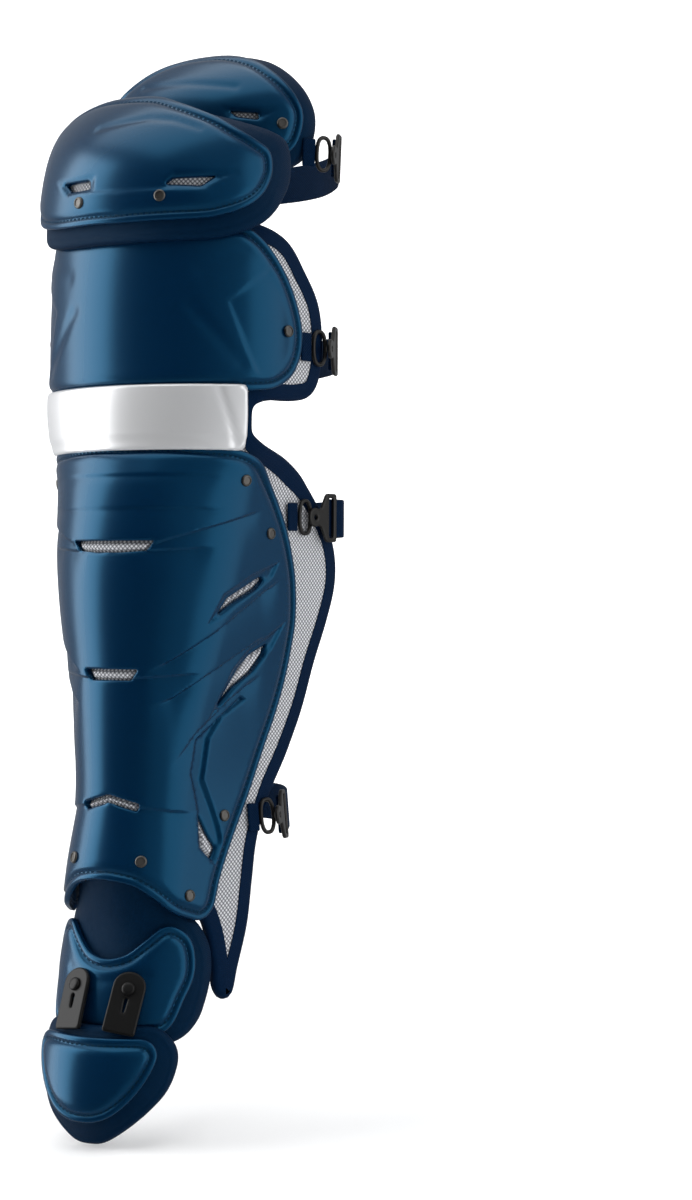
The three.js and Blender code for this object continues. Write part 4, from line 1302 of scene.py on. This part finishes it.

# %% [markdown]
# ## Silver band
# A satin silver strip of plastic over the joint of the two long plates, left bare. A bent box
# would do for its place. The real one has a soft belly, a bevel along its foot and a crease
# near each end; the belly, the bevel and the crease near its +X end are added to its face as
# heights.

# %% Silver band
def build_band():
    """The band between its back, 0.4 mm off the plates, and its face, which bulges by
    0.8 mm between its long edges and rolls in at them."""
    half, foot, head = BAND_HALF, BAND_LEVEL, BAND_LEVEL + BAND_HEIGHT
    rim = filleted([(-half, foot), (half, foot), (half, head), (-half, head)], 3.0, 2.0)
    net = flat_net(rim, (), 2.2, (0, 0.3, 0.7, 1.3, 2.2, 3.4))
    u, z = net["points"].T
    share = (z - BAND_LEVEL) / BAND_HEIGHT
    roll = 1.2 * (1 - np.clip(net["edge"] / 1.3, 0, 1)) ** 2
    bulge = 0.8 * (1 - (2 * share - 1) ** 2) - 0.8 * smooth(0.22 - share, 0, 0.05)
    crease = groove(net["points"], [(54, 433), (59, 418), (65, 397)], 0.7, 2)
    top = on_form(LEG, u, z, GAP + BAND_WALL + bulge + crease - roll)
    bottom = on_form(LEG, u, z, np.full(len(u), GAP))
    piece = solid_over("silver_band", net, top, bottom, net["points"])
    return dress(piece, "silver_band", silver_band_material)


silver_band = build_band()
print("silver_band", len(silver_band.data.polygons), "faces")

# %% [markdown]
# ## Screws, rubber straps and studs
# The plates are held by screws with round dished heads. Bevelled cylinders could stand for
# them; a profile turned round an axis has the dish too, and the form's own directions at
# each place seat the head square on the plate.

# %% Small parts
def seated(points, form, around, height, out):
    """Points drawn round, up and out, placed at a point of a form with its directions."""
    side, up, normal = form_frame(form, around, height)
    origin = on_form(form, around, height, out)
    return origin + points @ np.stack([side, up, normal])


def lathe(profile, count=32):
    """Rings of a profile of radii and heights turned round the z axis, closed at both ends,
    as points, quads and end triangles."""
    profile = np.asarray(profile, float)
    turn = np.linspace(0, 2 * math.pi, count, endpoint=False)
    radius, height = profile[:, :1], profile[:, 1:]
    rings = np.stack(
        [radius * np.cos(turn), radius * np.sin(turn), height + 0 * turn], -1
    )
    k, i = np.meshgrid(np.arange(len(profile) - 1), np.arange(count), indexing="ij")
    j = (i + 1) % count
    quads = np.stack(
        [k * count + i, k * count + j, (k + 1) * count + j, (k + 1) * count + i], -1
    ).reshape(-1, 4)
    points = rings.reshape(-1, 3)
    foot, head = len(points), len(points) + 1
    i = np.arange(count)
    j = (i + 1) % count
    last = (len(profile) - 1) * count
    ends = np.vstack(
        [
            np.stack([np.full(count, foot), j, i], 1),
            np.stack([np.full(count, head), last + i, last + j], 1),
        ]
    )
    tips = [[0, 0, profile[0, 1]], [0, 0, profile[-1, 1]]]
    return np.vstack([points, tips]), quads, ends


HEAD = lathe(
    [(3.3, 0), (3.3, 0.55), (3.05, 1.1), (2.6, 1.38), (2.2, 1.4), (2.0, 0.95), (0.8, 0.9)]
)
SCREWS = {
    "shin_screw": (
        LEG,
        SHIN_HALF,
        shin_share,
        [(0.59, 0.923), (0.78, 0.812), (0.57, 0.211), (0.41, 0.054), (0.17, 0.130)],
    ),
    "knee_plate_screw": (LEG, KNEE_PLATE_HALF, knee_plate_share, [(0.88, 0.360)]),
    "knee_cap_screw": (KNEE, KNEE_CAP_HALF, float, [(0.29, 0.165)]),
    "thigh_screw": (THIGH, THIGH_HALF, float, [(0.81, 0.335)]),
}


def build_screws():
    """A round head with a sunk middle at each screw's place, on both sides."""
    made = 0
    for name, (form, half, share_of, places) in SCREWS.items():
        for i, (a, b) in enumerate(places):
            height = form["level"] + share_of(b) * form["height"]
            for side, sign in (("right", 1), ("left", -1)):
                points = seated(HEAD[0], form, sign * a * half, height, 1.0)
                full = f"{name}_{side}_{i + 1}"
                piece = mesh_piece(full, row_frame(points), HEAD[1:], sharp=40)
                dress(piece, full, screw_metal)
                made += 1
    return made


print(build_screws(), "screws")

# %% [markdown]
# Two flat moulded straps of black rubber hold the toe plate to the ankle plate, each pulled
# over a stud by its slit. They could be bent by a simulation; real ones are stiff and
# pulled tight, so each is a straight solid between its two ends.

# %% Rubber straps
def build_rubber(side, share):
    """A flat moulded strap, round at its head, with a slit below its stud, from the toe
    plate's top edge up onto the ankle plate."""
    around = share * ANKLE_HALF
    top = ANKLE_LEVEL + 0.56 * ANKLE_HEIGHT
    lift = GAP + 1.3
    foot = on_form(TOE, around, TOE_TOP + 6 * GAP, lift - SHELL_WALL)
    head = on_form(ANKLE, around, top, lift + GAP)
    length = float(np.linalg.norm(head - foot))
    along = unit(head - foot)
    out = unit(np.cross(form_frame(ANKLE, around, top)[0], along))
    turned = np.stack([np.cross(along, out), along, out])
    bend = np.linspace(0, math.pi, 13)
    cap = [(9 * math.cos(t), length - 8 + 8 * math.sin(t)) for t in bend]
    rim = filleted([(-9, 0), (9, 0), *cap], 1.5, 0.9)
    stud_at = 0.72 * length
    slit = filleted(
        [(-0.5, stud_at - 13), (0.5, stud_at - 13), (1.0, stud_at - 5), (-1.0, stud_at - 5)]
    )
    net = flat_net(rim, [slit], 1.4, (0, 0.3, 0.7, 1.2), (0, 0.4, 0.9))
    u, v = net["points"].T
    edge = np.minimum(net["edge"], net["hole_edge"])
    roll = 0.7 * (1 - np.clip(edge / 0.8, 0, 1)) ** 2
    points = [np.stack([u, v, h], 1) @ turned + foot for h in (1.3 - roll, roll - 1.3)]
    piece = solid_over(f"rubber_strap_{side}", net, *points, net["points"])
    dress(piece, f"rubber_strap_{side}", black_rubber)
    button = lathe(
        [(3.6, 0), (3.6, 0.5), (3.3, 1.0), (2.6, 1.32), (1.4, 1.4), (0.5, 1.42)]
    )
    centre = foot + (head - foot) * 0.72 + out * (1.3 + GAP)
    stud = mesh_piece(
        f"rubber_stud_{side}", row_frame(button[0] @ turned + centre), button[1:]
    )
    return piece, dress(stud, f"rubber_stud_{side}", black_rubber)


for rubber_side, rubber_share in (("left", -0.28), ("right", 0.34)):
    strap, _ = build_rubber(rubber_side, rubber_share)
    print(strap.name, len(strap.data.polygons), "faces")


# %% [markdown]
# ## Fastenings
# Each strap is sewn to the liner on the -X side, goes round the back of the leg and is
# looped through the frame of a flat hook, whose nose is hooked over a ring on a short tab.
# A bevelled curve would twist where the strap turns. Two edge curves with a section between
# them keep the webbing square to the leg.

# %% Curve of a strap's edge
def through(points, per=12):
    """A centripetal Catmull-Rom curve through the points, with d the square root of each
    distance: the tangent at b is (b - a)/d0 - (c - a)/(d0 + d1) + (c - b)/d1, times d1."""
    p = np.asarray(points, float)
    p = np.vstack([2 * p[0] - p[1], p, 2 * p[-1] - p[-2]])
    a, b, c, d = p[:-3], p[1:-2], p[2:-1], p[3:]
    d0, d1, d2 = (
        np.sqrt(np.linalg.norm(n - m, axis=1))[:, None] for m, n in ((a, b), (b, c), (c, d))
    )
    m1 = ((b - a) / d0 - (c - a) / (d0 + d1) + (c - b) / d1) * d1
    m2 = ((c - b) / d1 - (d - b) / (d1 + d2) + (d - c) / d2) * d1
    t = np.linspace(0, 1, per, endpoint=False)[None, :, None]
    b, c, m1, m2 = (v[:, None] for v in (b, c, m1, m2))
    curve = (
        (2 * t**3 - 3 * t**2 + 1) * b
        + (t**3 - 2 * t**2 + t) * m1
        + (3 * t**2 - 2 * t**3) * c
        + (t**3 - t**2) * m2
    )
    return np.vstack([curve.reshape(-1, 3), p[-2]])


def ribbon(name, upper, lower, thickness=2.0):
    """A strap between two edge curves, with its thickness inwards and its edges rounded.
    Its ends are closed."""
    across = unit(lower - upper)
    along = unit(np.gradient(upper, axis=0))
    inward = -np.cross(along, -across)
    section = [
        (0.0, 0.35), (0.025, 0.0), (0.5, 0.0), (0.975, 0.0), (1.0, 0.35), (1.0, 0.65),
        (0.975, 1.0), (0.5, 1.0), (0.025, 1.0), (0.0, 0.65),
    ]
    rings = np.stack(
        [upper + w * (lower - upper) + t * thickness * inward for w, t in section], 1
    )
    count, size = rings.shape[:2]
    i, k = np.meshgrid(np.arange(count - 1), np.arange(size), indexing="ij")
    beside = (k + 1) % size
    quads = np.stack(
        [i * size + k, i * size + beside, (i + 1) * size + beside, (i + 1) * size + k],
        -1,
    ).reshape(-1, 4)
    ends = [np.arange(size)[None, ::-1], (count - 1) * size + np.arange(size)[None]]
    length = np.r_[0, np.cumsum(np.linalg.norm(np.diff(upper, axis=0), axis=1))]
    width = np.array([w for w, _ in section]) * STRAP_WIDTH
    uv = np.stack(np.broadcast_arrays(length[:, None], width[None]), -1)
    piece = mesh_piece(
        name, row_frame(rings.reshape(-1, 3)), [quads, *ends], uv.reshape(-1, 2), 50
    )
    return piece, float(length[-1])


print(len(through([(0, 0, 0), (9, 0, 0), (9, 9, 0)])), "points through three")

# %% [markdown]
# The hook is stamped from sheet steel: a nose that is hooked over the ring, and a frame
# with a slot for the webbing. It could be cut out with booleans; its outline and slot are
# drawn flat and given a thickness, because that is how it is stamped.

# %% Hook
def hook_points():
    """The hook's outline and the slot of its frame."""
    bend = np.linspace(math.pi / 2, 3 * math.pi / 2, 17)
    nose = [(NOSE + NOSE * math.cos(t), NOSE * math.sin(t)) for t in bend]
    rim = [
        *nose,
        (0.42 * HOOK_LENGTH, -0.8 * NOSE),
        (0.62 * HOOK_LENGTH, -FRAME),
        (HOOK_LENGTH, -FRAME),
        (HOOK_LENGTH, FRAME),
        (0.62 * HOOK_LENGTH, FRAME),
        (0.42 * HOOK_LENGTH, 0.8 * NOSE),
    ]
    slot = [(0.72, -SLOT), (0.88, -SLOT), (0.88, SLOT), (0.72, SLOT)]
    return filleted(rim, 2.0), filleted([(a * HOOK_LENGTH, b) for a, b in slot], 1.0)


def build_hook(name, origin, axes):
    """A flat hook 2 mm thick with rounded edges, a dimple in its nose and a slotted frame."""
    rim, slot = hook_points()
    ring = np.linspace(0, 2 * math.pi, 12, endpoint=False)
    dimple = np.stack([5.5 + 1.5 * np.cos(ring), 1.5 * np.sin(ring)], 1)
    net = flat_net(rim, [slot, dimple], 1.0, (0, 0.25, 0.6, 1.0), (0, 0.25, 0.6))
    u, v = net["points"].T
    edge = np.minimum(net["edge"], net["hole_edge"])
    roll = 0.55 * (1 - np.clip(edge / 0.7, 0, 1)) ** 2
    points = [np.stack([u, v, h], 1) @ axes + origin for h in (2.0 - roll, roll)]
    piece = solid_over(name, net, *points, net["points"])
    return dress(piece, name, dark_metal)


print("hook outline:", len(hook_points()[0]), "points")

# %% [markdown]
# The ring is bent from round wire and is a little squarer than an ellipse. A scaled torus
# would have oval wire, so a round section is carried along the ring's own line.

# %% Ring
def build_ring(name, form, around, height, out):
    """A wire ring: its middle line is (a |cos|^0.8, b |sin|^0.8) with the signs of the cosine
    and sine, where a and b are the half width and half height less the wire's radius."""
    t = np.linspace(0, 2 * math.pi, 72, endpoint=False)
    a, b = (RING_WIDTH - RING_WIRE) / 2, (RING_HEIGHT - RING_WIRE) / 2
    line = np.stack(
        [
            a * np.sign(np.cos(t)) * np.abs(np.cos(t)) ** 0.8,
            b * np.sign(np.sin(t)) * np.abs(np.sin(t)) ** 0.8,
            0 * t,
        ],
        1,
    )
    along = unit(np.roll(line, -1, 0) - np.roll(line, 1, 0))
    away = np.stack([along[:, 1], -along[:, 0], 0 * t], 1)
    s = np.linspace(0, 2 * math.pi, 14, endpoint=False)
    radius = RING_WIRE / 2
    lift = np.array([0, 0, radius]) * np.sin(s).reshape(1, -1, 1)
    wire = away[:, None] * np.cos(s)[None, :, None] * radius + lift
    rings = line[:, None] + wire
    rings = seated(rings, form, around, height, out)
    uv = np.zeros((*rings.shape[:2], 2))
    piece = swept(name, rings[:, ::-1], uv)
    return dress(piece, name, dark_metal)


print("ring", RING_WIDTH, "by", RING_HEIGHT, "mm, of wire", RING_WIRE, "mm thick")

# %% [markdown]
# The tab is a short doubled strip of webbing on the liner that leads to the ring. It could
# be a folded sheet; at this size the fold doesn't show, so it is one small solid with soft
# edges.

# %% Tab
def build_tab(name, form, around, height, out):
    """A short doubled piece of webbing, rounded at its edges by h = t (1 - d / 0.9)^2."""
    a, b = TAB_LENGTH / 2, TAB_WIDTH / 2
    rim = filleted([(-a, -b), (a, -b), (a, b), (-a, b)], 1.2)
    net = flat_net(rim, (), 1.2, (0, 0.3, 0.7, 1.2))
    u, v = net["points"].T
    roll = 0.5 * (1 - np.clip(net["edge"] / 0.9, 0, 1)) ** 2
    points = [
        seated(np.stack([u, v, h], 1), form, around, height, out)
        for h in (TAB_THICKNESS / 2 - roll, roll - TAB_THICKNESS / 2)
    ]
    piece = solid_over(name, net, *points, net["points"])
    return dress(piece, name, navy_webbing)


print("tab", TAB_LENGTH, "by", TAB_WIDTH, "mm")

# %% [markdown]
# The four fastenings differ only in where they are and how far they turn in, so one
# function makes them all. A strap could be draped round a leg, but the guard is shown
# without one, so it follows a smooth curve at the distance at which it is worn.

# %% A whole fastening
def fastening(name, form, height, start, edge, turn_in, depth, bulge, face):
    """The tab, ring and hook at the +X side of a form, and the strap from the hook round the
    back of the leg to where it is sewn on the -X side. Past the ring and the cloth's edge
    the hook turns in by an angle, so its side direction is s cos(a) - n sin(a)."""
    tab_out = face + GAP + TAB_THICKNESS / 2
    build_tab(f"{name}_tab", form, start + TAB_LENGTH / 2, height, tab_out)
    ring_at = start + TAB_LENGTH + GAP + RING_WIDTH / 2
    ring_out = face + GAP + RING_WIRE / 2
    build_ring(f"{name}_ring", form, ring_at, height, ring_out)
    hook_out = ring_out + RING_WIRE / 2 + 2 * GAP
    past_tape = edge + BINDING_REACH + 2 * GAP - ring_at
    turn_at = max((RING_WIDTH - RING_WIRE) / 2, past_tape)
    side, up, out = form_frame(form, ring_at, height)
    angle = math.radians(turn_in)
    axes = np.stack(
        [
            side * math.cos(angle) - out * math.sin(angle),
            up,
            out * math.cos(angle) + side * math.sin(angle),
        ]
    )
    origin = on_form(form, ring_at, height, hook_out) + (side - axes[0]) * turn_at
    hook = build_hook(f"{name}_hook", origin, axes)
    run = max(edge - ring_at, HOOK_LENGTH) + STRAP_RUN

    def edge_curve(drop):
        """One edge of the strap, at a drop from its middle line."""
        reach = (0.7 * HOOK_LENGTH, (0.7 * HOOK_LENGTH + run) / 2, run)
        right = np.array([(a, drop, -GAP) for a in reach]) @ axes + origin
        left = on_form(
            form,
            -np.array([edge + 4, (edge + start) / 2, start]),
            height + drop,
            np.full(3, face + GAP + 2.0),
        )
        left[0, 0] -= bulge
        x, y, _ = right[2]
        back = [
            (x * a - (bulge if a < -0.6 else 0), y + depth * share, height + drop)
            for a, share in (
                (0.86, 0.38), (0.5, 0.85), (0, 1), (-0.5, 0.85), (-0.86, 0.38)
            )
        ]
        return through([*right, *back, *left])

    half = STRAP_WIDTH / 2
    strap, length = ribbon(f"{name}_strap", edge_curve(half), edge_curve(-half))
    dress(strap, f"{name}_strap", navy_webbing)
    print(name, "strap", round(length), "mm long")


ON_LINER = LINER_FACE + GAP
ON_THIGH_PAD = GAP - (SHELL_WALL + SHELL_SEAT) - 1.5
KNEE_STRAP = KNEE_PLATE_LEVEL + 0.29 * KNEE_PLATE_HEIGHT
CALF_STRAP = SHIN_LEVEL + 0.85 * SHIN_LENGTH
HEEL_STRAP = SHIN_LEVEL + 0.20 * SHIN_LENGTH
THIGH_STRAP = THIGH_LEVEL + 0.14 * THIGH_HEIGHT
fastening("knee", LEG, KNEE_STRAP, 110.5, 127, 32, 46, 14, ON_LINER)
fastening("calf", LEG, CALF_STRAP, 117.76, 159.74, 0, 44, 0, ON_LINER)
fastening("heel", LEG, HEEL_STRAP, 94.72, 110.84, 34, 48, 0, ON_LINER)
fastening("thigh", THIGH, THIGH_STRAP, 75, 81.5, 42, 50, 0, ON_THIGH_PAD)

# %% [markdown]
# ## Stage
# The photograph has a plain white ground. A shadow catcher could stand for it; a floor that
# sweeps up into a backdrop was chosen, because it also takes the soft shadow. It glows
# faintly so that it is white, and the guard doesn't mirror it.

# %% Floor
visual_box = [list(corner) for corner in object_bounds()]


def build_stage():
    """A floor that sweeps up into a backdrop behind the guard, which glows faintly.
    The guard does not mirror it, so that its edges stay navy."""
    ground = visual_box[0][2] - 0.002
    sweep = np.linspace(0, math.pi / 2, 12)
    line = [(-4.0, 0.0), (2.0, 0.0)]
    line += [(2.0 + 1.0 * math.sin(t), 1.0 - 1.0 * math.cos(t)) for t in sweep[1:]]
    line += [(3.0, 6.0)]
    y, z = np.array(line).T
    x = np.array([-6.0, 6.0])
    points = np.stack(
        [*np.broadcast_arrays(x[None], y[:, None], z[:, None] + ground)], -1
    ).reshape(-1, 3)
    i = np.arange(len(line) - 1) * 2
    faces = np.stack([i, i + 1, i + 3, i + 2], 1)
    floor = mesh_piece("floor", points, [faces])
    material, tree, shader = new_material("floor", (0.9, 0.9, 0.9), 0.9, specular=0.1)
    place = node(tree, "ShaderNodeTexCoord").outputs["Object"]
    behind = node(tree, "ShaderNodeSeparateXYZ", {0: place}).outputs[1]
    glow = node(
        tree,
        "ShaderNodeMapRange",
        {"Value": behind, 1: 0.2, 2: 2.4, 3: 0.12, 4: 0.85},
        interpolation_type="SMOOTHSTEP",
    )
    shader.inputs["Emission Color"].default_value = (1, 1, 1, 1)
    tree.links.new(glow.outputs[0], shader.inputs["Emission Strength"])
    floor.data.materials.append(material)
    floor.visible_glossy = False
    return floor


print(len(build_stage().data.polygons), "faces in the floor")

# %% [markdown]
# Each plate has a bright band at its left, a dark middle and a softer band at its right.
# One lamp would flatten that, so there is a broad light from the left, a weaker one from
# the right and one from above.

# %% Lights
def area_light(name, place, size, power, target=(0, 0, 0.05)):
    """A rectangular light that faces the guard."""
    lamp = bpy.data.lights.new(name, "AREA")
    lamp.shape = "RECTANGLE"
    lamp.size, lamp.size_y = size
    lamp.energy = power
    lamp_object = bpy.data.objects.new(name, lamp)
    lamp_object.location = place
    lamp_object.visible_camera = False
    aim = Vector(target) - Vector(place)
    lamp_object.rotation_euler = aim.to_track_quat("-Z", "Y").to_euler()
    bpy.context.collection.objects.link(lamp_object)
    return lamp_object


area_light("left_light", (-1.55, -0.75, 0.35), (1.3, 2.4), 40)
area_light("right_light", (1.75, 0.1, 0.4), (1.5, 2.4), 15)
area_light("top_light", (-0.3, -0.3, 2.3), (2.4, 2.2), 27)
print(len(bpy.data.lights), "lights")

# %% [markdown]
# The rest of the light comes from all round. A picture of a studio could give it; one pale
# colour that darkens towards the front was chosen, because it leaves the middle of each
# plate deep navy. The plain view transform keeps that navy from turning grey.

# %% World
def build_world():
    """Pale light from all round, with a darker front so that the plates' fronts stay deep:
    the strength falls from 0.42 to 0.015 as direction . front goes from 0.55 to 0.97."""
    world = bpy.data.worlds.new("studio")
    world.use_nodes = True
    tree = world.node_tree
    way = node(tree, "ShaderNodeTexCoord").outputs["Generated"]
    front = node(
        tree,
        "ShaderNodeVectorMath",
        {0: way, 1: (-math.sin(math.radians(6)), -math.cos(math.radians(6)), 0)},
        operation="DOT_PRODUCT",
    )
    strength = node(
        tree,
        "ShaderNodeMapRange",
        {"Value": front.outputs["Value"], 1: 0.55, 2: 0.97, 3: 0.42, 4: 0.015},
        interpolation_type="SMOOTHSTEP",
    )
    background = tree.nodes["Background"]
    background.inputs["Color"].default_value = (0.95, 0.97, 1.0, 1)
    tree.links.new(strength.outputs[0], background.inputs["Strength"])
    bpy.context.scene.world = world
    bpy.context.scene.view_settings.view_transform = "Standard"
    return world


print("world:", build_world().name)

# %% [markdown]
# ## Camera
# It looks level from 30 degrees to the +X side, at the distance that the photograph's
# perspective gives. It could be fitted by eye; it is worked out from that turn, that
# distance and the scale, and it points past the guard as the photograph does.

# %% Camera
def build_camera():
    """A camera 1.2 m from the leg's axis. Its scale is 2069 pixels for a tangent of 1, over
    a picture 1200 pixels high; the axis stands 164 pixels left of the middle."""
    turn = math.radians(30)
    forward = Vector((-math.sin(turn), math.cos(turn), 0))
    right = Vector((math.cos(turn), math.sin(turn), 0))
    scale = 1200 / 0.58
    axis = Vector((0, -SEAT[1] * MM, (326 - SEAT[2]) * MM))
    aim = forward + right * (164 / scale) - Vector((0, 0, 20 / scale))
    camera = bpy.data.cameras.new("camera")
    camera.lens = camera.sensor_width * scale / 1200
    camera_object = bpy.data.objects.new("camera", camera)
    camera_object.location = axis - forward * 1.2
    camera_object.rotation_euler = aim.to_track_quat("-Z", "Y").to_euler()
    bpy.context.collection.objects.link(camera_object)
    bpy.context.scene.camera = camera_object
    return camera_object


print("lens:", round(build_camera().data.lens, 1), "mm")
